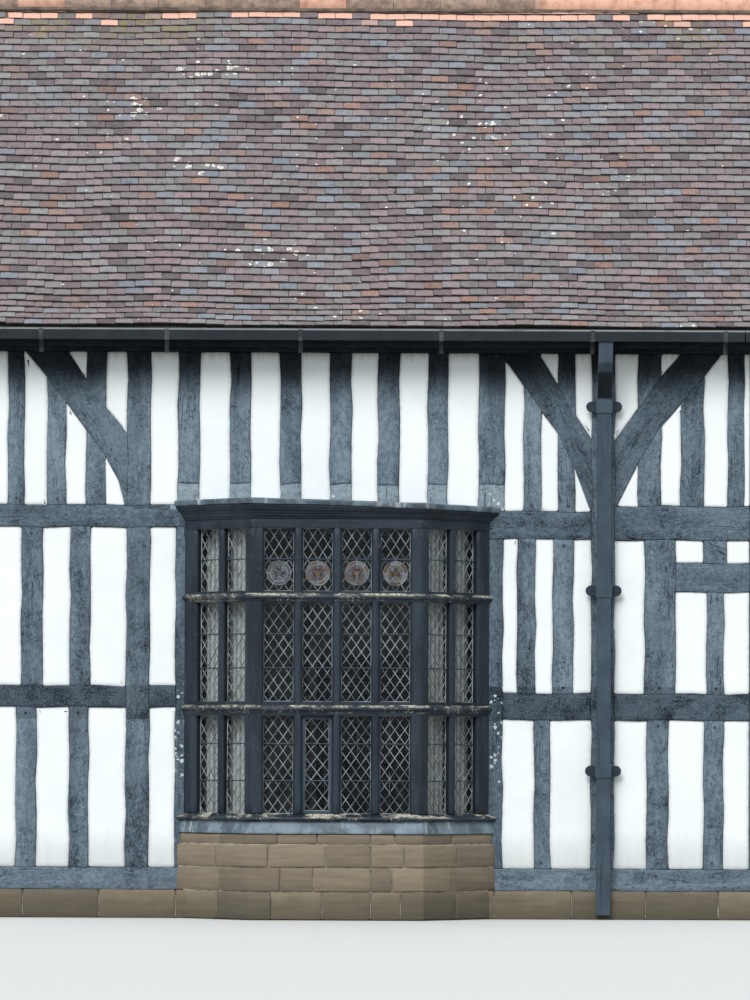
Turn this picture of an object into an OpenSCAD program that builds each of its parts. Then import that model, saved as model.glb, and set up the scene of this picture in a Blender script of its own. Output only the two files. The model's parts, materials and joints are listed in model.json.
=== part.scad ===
// Half timbered house: close studded oak frame, plaster panels, canted bay window and tiled roof.
// Millimetres, +X along the front, -Y is the front, +Z up, z = 0 is the ground under the house.

/* [House] */
// length over the corner posts, the studs and posts below spread with it
house_len = 7360; // [6800:20:8000]
// depth over the two long walls
house_dep = 5500; // [5000:20:6200]
// top of the stone plinth
plinth_h = 253; // [150:1:400]
// thickness of the stone plinth
plinth_t = 300; // [220:5:400]
// how far the plinth stands out past the timber
plinth_out = 60; // [20:5:100]
// thickness of the stone ground floor
floor_t = 150; // [100:5:200]

/* [Timber frame] */
// depth of the main posts, sills and plates
post_dep = 200; // [180:5:240]
// depth of the studs, rails and braces
stud_dep = 150; // [120:5:180]
// height of the sill beam
sill_h = 200; // [150:5:240]
// underside of the wall plate
plate_z = 5120; // [4900:10:5300]
// height of the wall plate
plate_h = 280; // [220:10:320]
// width of a corner post
corner_w = 230; // [200:5:280]
// how uneven the old timber edges are
waney = 9; // [0:1:16]
// length of one uneven stretch of a timber's edge
waney_step = 250; // [150:10:600]
// thickness of a wattle and plaster panel
panel_t = 110; // [90:5:125]
// setback of the plaster behind the timber face
panel_back = 18; // [5:1:35]

/* [Front wall timbers] */
// left and right edges of the upper studs
upper_studs = [[-3269, -3127], [-2914, -2751], [-2561, -2386], [-1728, -1539], [-1258, -1077],
    [-805, -620], [-353, -163], [81, 271], [534, 710], [995, 1226], [1403, 1557], [1716, 1864],
    [2439, 2642], [2827, 3032], [3254, 3398]];
// gap between the last upper stud and the right corner post
last_stud_gap = 52; // [20:1:120]
// left and right edges of the main post at the left and of the one at the right
main_posts = [[-2190, -1982], [2020, 2225]];
// width of the posts that the bay window stands between
window_post_w = 150; // [120:5:180]
// how far those posts show past the bay at the left and right
window_post_past = [80, 118];
// left and right edges of the middle storey studs past the two main posts
middle_studs = [[-3140, -2950], [-2700, -2520], [2502, 2778]];
// widths of the middle storey studs right of the bay
bay_studs = [159, 181];
// gaps left of, between and right of them, which share the room between the posts
bay_gaps = [135, 164, 168];
// left and right edges of the lowest studs past the two main posts
lower_studs = [[-3180, -3000], [-2700, -2530], [2525, 2715], [3041, 3213]];
// width of the lowest stud right of the bay
bay_low_stud = [138];
// gaps left and right of it, which share the room between the posts
bay_low_gaps = [294, 375];
// bottom and top of the middle rail left of the bay, over the bay and right of the bay
mid_rail = [[3529, 3728], [3438, 3685], [3431, 3737]];
// bottom and top of the lower rail left of the bay and right of the bay
low_rail = [[1900, 2090], [1801, 2036]];
// bottom and top of the short rail by the right corner
short_rail = [2963, 3222];
// left and right edges of the short studs over and under that rail
short_studs = [[3030, 3238], [3065, 3215]];
// how far the braces run up behind the wall plate
brace_up = 80; // [40:5:150]
// outer edge of the left post's brace from plate to post
brace_a_top = [[-2790, plate_z + brace_up], [-2561, 4860], [-2392, 4615], [-2190, 4375], [-2110, 4280]];
// inner edge of the left post's brace from post to plate
brace_a_low = [[-2110, 3560], [-2196, 3690], [-2264, 3946], [-2398, 4190], [-2747, 4660],
    [-2911, 4878], [-3180, plate_z + brace_up]];
// outer edge of the right post's left brace
brace_b_top = [[1480, plate_z + brace_up], [1697, 4850], [1862, 4570], [1991, 4375], [2070, 4260]];
// inner edge of the right post's left brace
brace_b_low = [[2070, 3560], [1991, 3740], [1864, 4081], [1710, 4398], [1556, 4606],
    [1403, 4824], [1130, plate_z + brace_up]];
// outer edge of the right post's right brace
brace_c_top = [[2150, 4230], [2235, 4340], [2439, 4624], [2642, 4914], [2900, plate_z + brace_up]];
// inner edge of the right post's right brace
brace_c_low = [[3250, plate_z + brace_up], [3032, 4914], [2823, 4670], [2633, 4453], [2453, 4154],
    [2235, 3720], [2150, 3560]];

/* [Bay window] */
// centre of the bay along the front
bay_x = -285; // [-400:5:400]
// half width of the bay at the wall
bay_half = 1380; // [1200:5:1600]
// half width of the bay's front
bay_front = 762; // [600:2:900]
// how far the bay stands out
bay_out = 680; // [600:5:900]
// depth of the bay's oak posts and mullions
bay_frame = 110; // [90:5:130]
// width of a front light
light_w = 268; // [220:2:300]
// spacing of the front lights
light_pitch = 348; // [320:1:380]
// width of a canted light
cant_light_w = 286; // [240:2:300]
// how far the bay's stone base stands out past the oak
base_out = 45; // [20:1:80]
// height of the upper band of the bay's stone base
base_band = 96; // [60:1:140]
// top of the bay's stone base
bay_base_z = 770; // [600:5:900]
// thickness of the bay's stone base
bay_base_t = 230; // [180:5:300]
// bottom of the sill
bay_sill_z = 887; // [800:1:950]
// bottom and top of the lowest glass
glass_low = [949, 1825];
// bottom and top of the middle glass
glass_mid = [1952, 2843];
// bottom and top of the highest glass
glass_top = [2941, 3504];
// bottom of the cornice
cornice_z = 3590; // [3500:5:3640]
// height of the cornice
cornice_h = 121; // [90:1:200]
// how far the cornice stands out from the oak
cornice_out = 64; // [40:1:90]
// how far the lead roof stands out from the oak
lead_out = 78; // [50:1:110]
// how far the drip mouldings stand out
drip_out = 20; // [10:1:60]
// how far the two drip mouldings' tops are under the glass above
drip_below = [30, 18];
// height of the drip mouldings
drip_h = 72; // [50:1:90]
// how far the sill stands out
sill_out = 50; // [30:1:70]
// how far the lead apron stands out at its foot
apron_foot_out = 37; // [30:1:50]
// height of the upright lip at the apron's foot
apron_lip = 22; // [10:1:40]
// how far the lead apron stands out at its top
apron_top_out = 14; // [5:1:30]
// step and chamfer of the stone base's upper band
base_step = 20; // [10:1:40]
// width of the chamfer on posts and mullions
mould_w = 17; // [8:1:24]
// depth of the chamfer on posts and mullions
mould_d = 24; // [12:1:34]
// depth of the bay's head and cornice
head_dep = 210; // [150:5:260]
// thickness of the lead roof's edge
lead_t = 50; // [20:1:80]
// rise of the lead roof to the wall
lead_rise = 24; // [10:1:160]
// thickness of the glass
glass_t = 4; // [3:0.5:6]
// depth of the glass behind the frame's face
glass_in = 60; // [30:1:70]
// width of the iron frame of the opening light
casement_w = 26; // [20:1:40]
// thickness of a gathered curtain
curtain_t = 36; // [20:1:60]
// gap of a curtain to the corner and to the wall
curtain_ends = [40, 115];

/* [Roof] */
// height of the tile edge at the eaves over the underside of the wall plate
eave_up = 230; // [180:5:320]
// height of the tile surface at the ridge over the tile edge at the eaves
roof_rise = 3290; // [2900:10:3600]
// overhang of the eaves past the wall
eave_out = 350; // [250:5:450]
// run of the flatter tiles at the eaves
bell_run = 330; // [200:5:450]
// pitch of the flatter tiles at the eaves
bell_pitch = 35; // [30:0.5:45]
// upright thickness of tiles and battens
tile_t = 80; // [60:2:110]
// overhang of the tiles past the gable
verge_out = 100; // [60:5:150]
// edge thickness of the tiles at the eaves
tile_edge = 32; // [20:1:50]
// thickness of the barge boards
barge_t = 28; // [20:1:40]
// upright depth of the barge boards
barge_h = 190; // [150:5:240]
// thickness of the fascias
fascia_t = 25; // [18:1:35]
// distance from the tile edge down to the fascia's foot
fascia_h = 200; // [160:5:240]
// distance of the fascia behind the tile edge
fascia_in = 55; // [30:1:80]
// how far the ridge tiles' centre is under the ridge
ridge_sink = 45; // [20:1:70]
// width of a rafter
rafter_w = 100; // [80:2:130]
// upright depth of a rafter
rafter_h = 155; // [120:5:200]
// outer radius of a ridge tile
ridge_r = 128; // [100:1:150]
// thickness of a ridge tile
ridge_t = 18; // [12:1:25]
// length of a ridge tile
ridge_len = 450; // [400:5:500]

/* [Rainwater goods] */
// front to back size of the box gutter
gutter_w = 120; // [90:2:150]
// height of the box gutter
gutter_h = 100; // [80:1:150]
// drop from the tile edge to the gutter's rim
gutter_drop = 45; // [20:1:80]
// thickness of the bracket straps
strap_t = 6; // [4:0.5:10]
// width of the bracket straps
strap_w = 40; // [25:1:60]
// tail of a bracket under the gutter
strap_tail = 112; // [30:1:140]
// height of the pipe's collars
collar_h = 126; // [80:1:160]
// thickness of the collars round the pipe
collar_t = 10; // [5:1:16]
// height of the collar's ears
ear_h = 98; // [60:1:120]
// thickness of the collar's ears
ear_t = 12; // [6:1:20]
// distance of the collar's bolts from the pipe's middle
bolt_off = 92; // [80:1:110]
// diameter of the collar's bolts
bolt_d = 18; // [12:1:24]
// width over the collar's ears
ear_w = 326; // [240:1:360]
// how far the pipe's offset bend starts and ends under the gutter
pipe_bend = [190, 495];
// how much higher the bend starts on the wall side
pipe_bend_lift = 28; // [20:1:60]
// gap between the downpipe and the plinth's face
pipe_gap = 8; // [4:1:40]
// height of the pipe's open foot
pipe_foot = 40; // [20:5:150]
// wall of the gutter and pipe
iron_t = 4; // [3:0.5:6]
// width of the downpipe
pipe_w = 128; // [90:1:150]
// middle of the downpipe right of its post's middle
pipe_off = 2; // [-40:1:40]
// depth of the downpipe
pipe_dep = 76; // [60:1:100]
// centres of the front gutter brackets
bracket_x = [-2959, -1828, -624, 643, 2005, 3204];
// middle heights of the pipe's collars
collar_z = [1339, 2968, 4633];
// joint between the two lengths of the front gutter
gutter_joint = 3375; // [2800:5:3600]

/* [Back and ends] */
// width of the back door opening
door_w = 960; // [800:10:1100]
// height of the back door over the sill
door_h = 1990; // [1850:10:2100]
// centres of the back windows
back_win_x = [-2840, 2820];
// width of a back window
back_win_w = 1020; // [800:10:1200]
// bottom and top of the back windows
back_win_z = [1000, 2860];
// thickness of the back door
door_t = 45; // [35:1:60]
// how far the back door is set in
door_in = 60; // [30:1:90]
// width of the back windows' and door's frame members
back_frame = 80; // [60:1:110]
// width of a middle post in the end walls
main_w = 220; // [180:5:260]
// middle of each stud in the back wall
back_stud_x = [-3080, -2660, -1480, -1060, -640, 640, 1060, 1480, 2660, 3080];
// middle of each stud in the end walls
end_stud_y = [-2100, -1680, -1260, -840, -420, 420, 840, 1260, 1680, 2100];
// distance from the middle of the last stud in an end wall to the corner post
end_stud_gap = 420; // [300:5:500]
// bottom and top of the gable's collar over the tile edge at the eaves
gable_collar = [1530, 1730];
// how far down the posts the plain braces reach and how far along the plate, outer and inner edge
plain_brace = [770, 1520, 620, 980];
// sag of the plain braces' curve
plain_brace_sag = 70; // [0:5:120]
// width of a stud in the unseen walls
stud_w = 180; // [140:2:220]

/* [Hidden] */
$fn = 72;
half_len = house_len / 2;
half_dep = house_dep / 2;
sill_top = plinth_h + sill_h;
plate_top = plate_z + plate_h;
eave_y = half_dep + eave_out;
bell_y = eave_y - bell_run;
eave_z = plate_z + eave_up;
apex_z = eave_z + roof_rise;
collar_span = [for (h = gable_collar) eave_z + h];
bell_z = eave_z + bell_run * tan(bell_pitch);
slope = (apex_z - bell_z) / bell_y;
pitch = atan(slope);
verge_x = half_len + verge_out;
inner_x = half_len - corner_w;
side_in = half_dep - corner_w;
fit = 1;
spread = inner_x / (upper_studs[len(upper_studs) - 1][1] + last_stud_gap);
deep = side_in / (end_stud_y[len(end_stud_y) - 1] + end_stud_gap);
bay_mid = bay_x * spread;
posts = [for (e = main_posts) moved(e)];
window_ends = [bay_mid - bay_half - window_post_past[0], bay_mid + bay_half + window_post_past[1]];
window_posts = [[window_ends[0], window_ends[0] + window_post_w],
    [window_ends[1] - window_post_w, window_ends[1]]];
wide_stud = moved(middle_studs[2]);
pipe_mid = (posts[1][0] + posts[1][1]) / 2 + pipe_off;
pipe_x = [pipe_mid - pipe_w / 2, pipe_mid + pipe_w / 2];
window_x = [for (x = back_win_x) x * spread];
tuck = 60;
window_mid = (window_posts[0][0] + window_posts[0][1]) / 2;
split_mid = (mid_rail[0][0] + mid_rail[1][1]) / 2;
split_low = (low_rail[0][0] + low_rail[1][1]) / 2;
cant_run = bay_half - bay_front;
cant_len = sqrt(cant_run * cant_run + bay_out * bay_out);
cant_turn = atan2(bay_out, cant_run);
mullion_w = light_pitch - light_w;
bay_corner = bay_front - 1.5 * mullion_w - 2 * light_w;
end_post = bay_corner + 2 * cant_light_w + mullion_w;
cornice_top = cornice_z + cornice_h;
fascia_y = eave_y - fascia_in;
gutter_y = fascia_y + fascia_t;
gutter_top = eave_z - gutter_drop;
wall_front = -half_dep;
wall_back = half_dep;
rafter_gaps = 16;
fascia_top = bell_z - tile_t - (fascia_y - bell_y) * tan(bell_pitch);
eave_lift = (eave_z - tile_edge - fascia_top) / (eave_y - fascia_y);
pipe_y0 = half_dep + plinth_out + pipe_gap;
pipe_y1 = gutter_y + (gutter_w + pipe_dep) / 2;

// The sum of the first n values, and the place of a stud between the bay's post and the main post
function total(v, n) = n > 0 ? v[n - 1] + total(v, n - 1) : 0;
function past_bay(widths, gaps, i) =
    let (room = posts[1][0] - window_ends[1] - total(widths, len(widths)),
        x = window_ends[1] + total(widths, i) + total(gaps, i + 1) * room / total(gaps, len(gaps)))
    [x, x + widths[i]];

// Helpers for uneven timbers drawn flat, x along the wall and y up
function moved(e) = let (s = (e[0] + e[1]) / 2 * (spread - 1)) [e[0] + s, e[1] + s];
function shifted(pts, i) = let (s = posts[i][0] - main_posts[i][0]) [for (p = pts) [p[0] + s, p[1]]];
function wob(seed, k) = waney * (sin(seed * 71.3 + k * 113.7) + 0.5 * sin(seed * 29.9 + k * 197.1)) / 1.5;

module upright(e, z0, z1, seed) {
    n = max(1, round((z1 - z0) / waney_step));
    polygon(concat(
        [for (k = [0:n]) [e[0] + wob(seed, k), z0 + (z1 - z0) * k / n]],
        [for (k = [n:-1:0]) [e[1] + wob(seed + 5, k), z0 + (z1 - z0) * k / n]]));
}

module level_beam(x0, x1, e, seed) {
    n = max(1, round((x1 - x0) / waney_step));
    polygon(concat(
        [for (k = [0:n]) [x0 + (x1 - x0) * k / n, e[0] + wob(seed, k)]],
        [for (k = [n:-1:0]) [x0 + (x1 - x0) * k / n, e[1] + wob(seed + 5, k)]]));
}

module box2(x0, x1, z0, z1) {
    translate([x0, z0]) square([x1 - x0, z1 - z0]);
}

// Stand a flat drawing up as a piece of the front, back, left or right wall
module in_front(dep, back = 0) {
    translate([0, wall_front + back + dep, 0]) rotate([90, 0, 0]) linear_extrude(dep) children();
}

module in_back(dep, back = 0) {
    translate([0, wall_back - back, 0]) rotate([90, 0, 0]) linear_extrude(dep) children();
}

module in_side(side, dep, back = 0) {
    translate([side > 0 ? half_len - back - dep : -half_len + back, 0, 0])
        rotate([90, 0, 90]) linear_extrude(dep) children();
}

// Front wall drawn flat: the raw timbers run into one another, and each is then cut by what it meets
module main_raw() {
    for (i = [0, 1]) upright(posts[i], sill_top, plate_z, 3 + i);
}

module whole_post_raw() {
    upright(posts[1], sill_top, plate_z, 4);
}

module window_raw() {
    for (i = [0, 1]) upright(window_posts[i], sill_top, split_mid, 11 + i);
}

module mid_raw() {
    level_beam(-inner_x, window_mid, mid_rail[0], 21);
    level_beam(window_mid - fit, posts[1][0] + tuck, mid_rail[1], 22);
    level_beam(posts[1][1] - tuck, inner_x, mid_rail[2], 23);
}

module low_raw() {
    level_beam(-inner_x, bay_mid, low_rail[0], 31);
    level_beam(bay_mid, inner_x, low_rail[1], 32);
}

module short_raw() {
    level_beam(wide_stud[1] - tuck, inner_x, short_rail, 41);
}

module wide_raw() {
    upright(wide_stud, split_low, split_mid, 64);
}

module brace_raw() {
    polygon(shifted(concat(brace_a_top, brace_a_low), 0));
    polygon(shifted(concat(brace_b_top, brace_b_low), 1));
    polygon(shifted(concat(brace_c_top, brace_c_low), 1));
}

module upper_raw() {
    for (i = [0:len(upper_studs) - 1]) upright(moved(upper_studs[i]), split_mid, plate_z, 50 + i);
}

module middle_raw() {
    for (i = [0, 1]) upright(moved(middle_studs[i]), split_low, split_mid, 60 + i);
    for (i = [0, 1]) upright(past_bay(bay_studs, bay_gaps, i), split_low, split_mid, 62 + i);
    wide_raw();
}

module short_stud_raw() {
    upright(moved(short_studs[0]), short_rail[0] + tuck, split_mid, 71);
    upright(moved(short_studs[1]), split_low, short_rail[1] - tuck, 72);
}

module lower_raw() {
    for (i = [0, 1]) upright(moved(lower_studs[i]), sill_top, split_low, 80 + i);
    upright(past_bay(bay_low_stud, bay_low_gaps, 0), sill_top, split_low, 82);
    for (i = [2, 3]) upright(moved(lower_studs[i]), sill_top, split_low, 81 + i);
}

module bay_gap() {
    box2(window_mid, (window_posts[1][0] + window_posts[1][1]) / 2, sill_top - 100,
        mid_rail[1][0] + tuck);
}

module mid_flat() {
    difference() {
        mid_raw();
        whole_post_raw();
    }
}

// The left post is cut where the middle rail runs past it
module main_flat() {
    difference() {
        main_raw();
        mid_flat();
    }
}

module window_flat() {
    difference() {
        window_raw();
        mid_raw();
    }
}

module low_flat() {
    difference() {
        low_raw();
        bay_gap();
        main_raw();
        window_raw();
    }
}

module short_flat() {
    difference() {
        short_raw();
        wide_raw();
    }
}

module brace_flat() {
    difference() {
        brace_raw();
        main_raw();
        mid_raw();
        box2(-half_len, half_len, plate_z, plate_z + 400);
    }
}

module upper_flat() {
    difference() {
        upper_raw();
        mid_raw();
        brace_raw();
    }
}

module middle_flat() {
    difference() {
        middle_raw();
        mid_raw();
        low_raw();
    }
    difference() {
        short_stud_raw();
        short_raw();
        mid_raw();
        low_raw();
    }
}

module lower_flat() {
    difference() {
        lower_raw();
        low_raw();
    }
}

module front_raw() {
    main_raw();
    window_raw();
    mid_raw();
    low_raw();
    short_raw();
    brace_raw();
    upper_raw();
    middle_raw();
    short_stud_raw();
    lower_raw();
}

// Plain walls of the sides that the photograph does not show, drawn flat
module plain_rails(w) {
    level_beam(-w, w, mid_rail[2], 91);
    level_beam(-w, w, low_rail[1], 92);
}

module plain_braces(w) {
    a = plain_brace;
    g = plain_brace_sag;
    for (s = [0, 1]) mirror([s, 0]) polygon([[w, plate_z - a[1]], [w, plate_z - a[0]],
        [w - a[2] / 2 + g, plate_z - a[0] / 2 - g], [w - a[2], plate_z], [w - a[3], plate_z],
        [w - a[3] * 0.62 + g, plate_z - a[1] * 0.38 - g], [w - a[3] * 0.3 + g, plate_z - a[1] * 0.7 - g]]);
}

module plain_studs(xs, k, z0, z1, seed) {
    for (i = [0:len(xs) - 1]) upright([xs[i] * k - stud_w / 2, xs[i] * k + stud_w / 2], z0, z1, seed + i);
}

module back_post_flat() {
    for (i = [0, 1]) upright([-posts[i][1], -posts[i][0]], sill_top, plate_z, 95 + i);
}

module door_gap() {
    box2(-door_w / 2, door_w / 2, plinth_h - 50, sill_top + door_h);
}

module window_gap(x) {
    box2(x - back_win_w / 2, x + back_win_w / 2, back_win_z[0], back_win_z[1]);
}

module back_gaps() {
    door_gap();
    for (x = window_x) window_gap(x);
}

module back_rail_flat() {
    difference() {
        plain_rails(inner_x);
        back_post_flat();
        back_gaps();
    }
}

module back_brace_flat() {
    difference() {
        plain_braces(inner_x);
        plain_rails(inner_x);
        back_post_flat();
    }
}

module back_stud_flat() {
    difference() {
        plain_studs(back_stud_x, spread, sill_top, plate_z, 110);
        plain_rails(inner_x);
        plain_braces(inner_x);
        back_gaps();
    }
}

module end_post_flat() {
    upright([-main_w / 2, main_w / 2], sill_top, plate_z, 131);
}

module end_rail_flat() {
    difference() {
        plain_rails(side_in);
        end_post_flat();
    }
}

module end_brace_flat() {
    difference() {
        plain_braces(side_in);
        plain_rails(side_in);
    }
}

module end_stud_flat() {
    difference() {
        plain_studs(end_stud_y, deep, sill_top, plate_z, 140);
        plain_rails(side_in);
        plain_braces(side_in);
    }
}

// The gable over the tie beam, up to the underside of the rafters
module gable_flat() {
    foot = (apex_z - tile_t - rafter_h - plate_top) / slope;
    polygon([[-foot, plate_top], [foot, plate_top], [0, plate_top + foot * slope]]);
}

module collar_raw() {
    level_beam(-half_dep, half_dep, collar_span, 151);
}

module gable_stud_raw() {
    plain_studs(concat([0], end_stud_y), deep, plate_top, apex_z, 160);
}

module collar_flat() {
    intersection() {
        gable_flat();
        collar_raw();
    }
}

module gable_stud_flat() {
    intersection() {
        gable_flat();
        difference() {
            gable_stud_raw();
            collar_raw();
        }
    }
}

// Nodes: stone
module plinth_run(run, turn) {
    rotate([0, 0, turn]) rotate([90, 0, 90]) translate([0, 0, -run / 2]) linear_extrude(run)
        polygon([[plinth_t, 0], [0, 0], [0, plinth_h - 45], [45, plinth_h], [plinth_t, plinth_h]]);
}

module front_plinth() {
    color("#7d7466") translate([0, wall_front - plinth_out, 0]) plinth_run(house_len + 2 * plinth_out, 0);
}

module back_plinth() {
    color("#7d7466") translate([0, wall_back + plinth_out, 0]) plinth_run(house_len + 2 * plinth_out, 180);
}

module side_plinths() {
    run = house_dep + 2 * (plinth_out - plinth_t);
    color("#7d7466") for (s = [-1, 1])
        translate([s * (half_len + plinth_out), 0, 0]) plinth_run(run, s * 90);
}

module bay_plinth() {
    top = bay_base_z;
    band = top - base_band;
    color("#857a6a") difference() {
        bay_mould([[base_out - bay_base_t, 0], [base_out, 0], [base_out, band],
            [base_out - base_step, band + base_step], [base_out - base_step, top],
            [base_out - bay_base_t, top]]);
        translate([-half_len, wall_front - plinth_out, -1]) cube([house_len, plinth_t, plinth_h + 1]);
    }
}

module ground_floor() {
    in_x = half_len + plinth_out - plinth_t;
    in_y = half_dep + plinth_out - plinth_t;
    color("#8a8276") {
        translate([-in_x, -in_y, 0]) cube([2 * in_x, 2 * in_y, floor_t]);
        difference() {
            translate([bay_mid, 0, 0]) linear_extrude(floor_t)
                polygon(bay_outline(base_out - bay_base_t, 0));
            translate([-half_len, wall_front - plinth_out, -1]) cube([house_len, plinth_t, plinth_h]);
        }
    }
}

// Nodes: main frame
module sill_beams() {
    color("#49515a") {
        in_back(post_dep) difference() {
            box2(-half_len, half_len, plinth_h, sill_top);
            door_gap();
        }
        in_front(post_dep) box2(-half_len, half_len, plinth_h, sill_top);
        for (s = [-1, 1]) in_side(s, post_dep)
            box2(-half_dep + post_dep + fit, half_dep - post_dep - fit, plinth_h, sill_top);
    }
}

module corner_posts() {
    color("#49515a") for (sx = [-1, 1]) for (sy = [-1, 1])
        translate([sx * (half_len - corner_w / 2), sy * (half_dep - corner_w / 2), (sill_top + plate_z) / 2])
            cube([corner_w, corner_w, plate_z - sill_top], center = true);
}

module main_posts() {
    color("#49515a") {
        in_front(post_dep) main_flat();
        in_back(post_dep) back_post_flat();
    }
}

module window_posts() {
    color("#49515a") in_front(stud_dep) window_flat();
}

module wall_plates() {
    color("#3c434b") {
        in_front(post_dep) box2(-half_len, half_len, plate_z, plate_top);
        in_back(post_dep) box2(-half_len, half_len, plate_z, plate_top);
    }
}

module tie_beams() {
    color("#49515a") for (x = [-half_len, posts[0][0], posts[1][0], half_len - post_dep])
        translate([x, -half_dep + post_dep, plate_z])
            cube([post_dep, house_dep - 2 * post_dep, plate_h]);
}

// Nodes: front wall
module front_rails() {
    color("#49515a") in_front(stud_dep) {
        mid_flat();
        low_flat();
        short_flat();
    }
}

module front_upper_studs() {
    color("#49515a") in_front(stud_dep) upper_flat();
}

module front_middle_studs() {
    color("#49515a") in_front(stud_dep) middle_flat();
}

module front_lower_studs() {
    color("#49515a") in_front(stud_dep) lower_flat();
}

module front_braces() {
    color("#49515a") in_front(stud_dep) brace_flat();
}

module front_panels(z0, z1) {
    color("#f0efe9") in_front(panel_t, panel_back) difference() {
        box2(-inner_x, inner_x, z0, z1);
        front_raw();
        bay_gap();
    }
}

module front_upper_panels() {
    front_panels(split_mid, plate_z);
}

module front_middle_panels() {
    front_panels(split_low, split_mid);
}

module front_lower_panels() {
    front_panels(sill_top, split_low);
}

// Nodes: back wall
module back_rails() {
    color("#49515a") in_back(stud_dep) back_rail_flat();
}

module back_braces() {
    color("#49515a") in_back(stud_dep) back_brace_flat();
}

module back_studs() {
    color("#49515a") in_back(stud_dep) back_stud_flat();
}

module back_panels() {
    color("#f0efe9") in_back(panel_t, panel_back) difference() {
        box2(-inner_x, inner_x, sill_top, plate_z);
        back_post_flat();
        plain_rails(inner_x);
        plain_braces(inner_x);
        plain_studs(back_stud_x, spread, sill_top, plate_z, 110);
        back_gaps();
    }
}

module back_door_frame() {
    color("#2f3134") in_back(stud_dep) difference() {
        box2(-door_w / 2, door_w / 2, plinth_h, sill_top + door_h);
        box2(back_frame - door_w / 2, door_w / 2 - back_frame, plinth_h - 1, sill_top + door_h - back_frame);
    }
}

module back_door() {
    color("#3a3c3f") in_back(door_t, door_in)
        box2(back_frame - door_w / 2, door_w / 2 - back_frame, plinth_h, sill_top + door_h - back_frame);
}

module back_lights() {
    lw = (back_win_w - 4 * back_frame) / 3;
    lh = (back_win_z[1] - back_win_z[0] - 3 * back_frame) / 2;
    for (x = window_x) for (i = [0:2]) for (j = [0, 1]) {
        x0 = x - back_win_w / 2 + back_frame + i * (lw + back_frame);
        z0 = back_win_z[0] + back_frame + j * (lh + back_frame);
        box2(x0, x0 + lw, z0, z0 + lh);
    }
}

module back_windows() {
    color("#2f3134") in_back(bay_frame) difference() {
        for (x = window_x) window_gap(x);
        back_lights();
    }
}

module back_glass() {
    color("#8a99a3") in_back(glass_t, glass_in) back_lights();
}

// Nodes: end walls
module end_posts() {
    color("#49515a") for (s = [-1, 1]) in_side(s, post_dep) end_post_flat();
}

module end_rails() {
    color("#49515a") for (s = [-1, 1]) in_side(s, stud_dep) {
        end_rail_flat();
        collar_flat();
    }
}

module end_braces() {
    color("#49515a") for (s = [-1, 1]) in_side(s, stud_dep) end_brace_flat();
}

module end_studs() {
    color("#49515a") for (s = [-1, 1]) in_side(s, stud_dep) {
        end_stud_flat();
        gable_stud_flat();
    }
}

module end_panels() {
    color("#f0efe9") for (s = [-1, 1]) in_side(s, panel_t, panel_back) {
        difference() {
            box2(-side_in, side_in, sill_top, plate_z);
            end_post_flat();
            plain_rails(side_in);
            plain_braces(side_in);
            plain_studs(end_stud_y, deep, sill_top, plate_z, 140);
        }
        difference() {
            gable_flat();
            collar_raw();
            gable_stud_raw();
        }
    }
}

// Roof profiles drawn flat for one slope: distance from the ridge, height
function under(h, drop) = h <= bell_y ? apex_z - drop - slope * h
    : bell_z - drop - (h - bell_y) * tan(bell_pitch);

module on_slope(s, x0, x1) {
    translate([x0, 0, 0]) rotate([90, 0, 90]) linear_extrude(x1 - x0) mirror([s < 0 ? 1 : 0, 0]) children();
}

module roof_slab(s) {
    color("#6d5a50") on_slope(s, -verge_x, verge_x) polygon([[0, apex_z], [bell_y, bell_z],
        [eave_y, eave_z], [eave_y, eave_z - tile_edge], [fascia_y, under(fascia_y, tile_t)],
        [bell_y, bell_z - tile_t], [0, apex_z - tile_t]]);
}

module roof_front() {
    roof_slab(-1);
}

module roof_back() {
    roof_slab(1);
}

module rafter_flat() {
    difference() {
        polygon([[fit, under(fit, tile_t)], [bell_y, bell_z - tile_t], [fascia_y, under(fascia_y, tile_t)],
            [fascia_y, under(fascia_y, tile_t + rafter_h)], [bell_y, bell_z - tile_t - rafter_h],
            [fit, under(fit, tile_t + rafter_h)]]);
        box2(half_dep - post_dep, half_dep, plate_z, plate_top);
    }
}

module rafters() {
    gap = (house_len - rafter_w) / rafter_gaps;
    color("#5a4c40") for (s = [-1, 1]) for (i = [0:rafter_gaps])
        on_slope(s, -half_len + i * gap, -half_len + i * gap + rafter_w) rafter_flat();
}

module ridge_tiles() {
    n = round(2 * verge_x / ridge_len);
    run = 2 * verge_x / n;
    color("#9a6a4c") for (i = [0:n - 1])
        on_slope(1, -verge_x + i * run + (i > 0 ? fit : 0), -verge_x + (i + 1) * run) difference() {
            translate([0, apex_z - ridge_sink]) circle(ridge_r);
            translate([0, apex_z - ridge_sink]) circle(ridge_r - ridge_t);
            polygon([[0, apex_z], [2 * ridge_r, under(2 * ridge_r, 0)], [2 * ridge_r, apex_z - 4 * ridge_r],
                [-2 * ridge_r, apex_z - 4 * ridge_r], [-2 * ridge_r, under(2 * ridge_r, 0)]]);
        }
}

module barge_boards() {
    color("#3c434b") for (s = [-1, 1]) for (e = [0, 1])
        on_slope(s, e > 0 ? half_len : -half_len - barge_t, e > 0 ? half_len + barge_t : -half_len)
            polygon([[fit, under(fit, tile_t)], [bell_y, bell_z - tile_t],
                [fascia_y, under(fascia_y, tile_t)], [fascia_y, under(fascia_y, tile_t + barge_h)],
                [bell_y, bell_z - tile_t - barge_h], [fit, under(fit, tile_t + barge_h)]]);
}

module fascias() {
    z0 = eave_z - fascia_h;
    color("#2b2f34") for (s = [-1, 1]) on_slope(s, -verge_x, verge_x)
        polygon([[fascia_y, z0], [fascia_y + fascia_t, z0],
            [fascia_y + fascia_t, under(fascia_y, tile_t) + eave_lift * fascia_t],
            [fascia_y, under(fascia_y, tile_t)]]);
}

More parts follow.
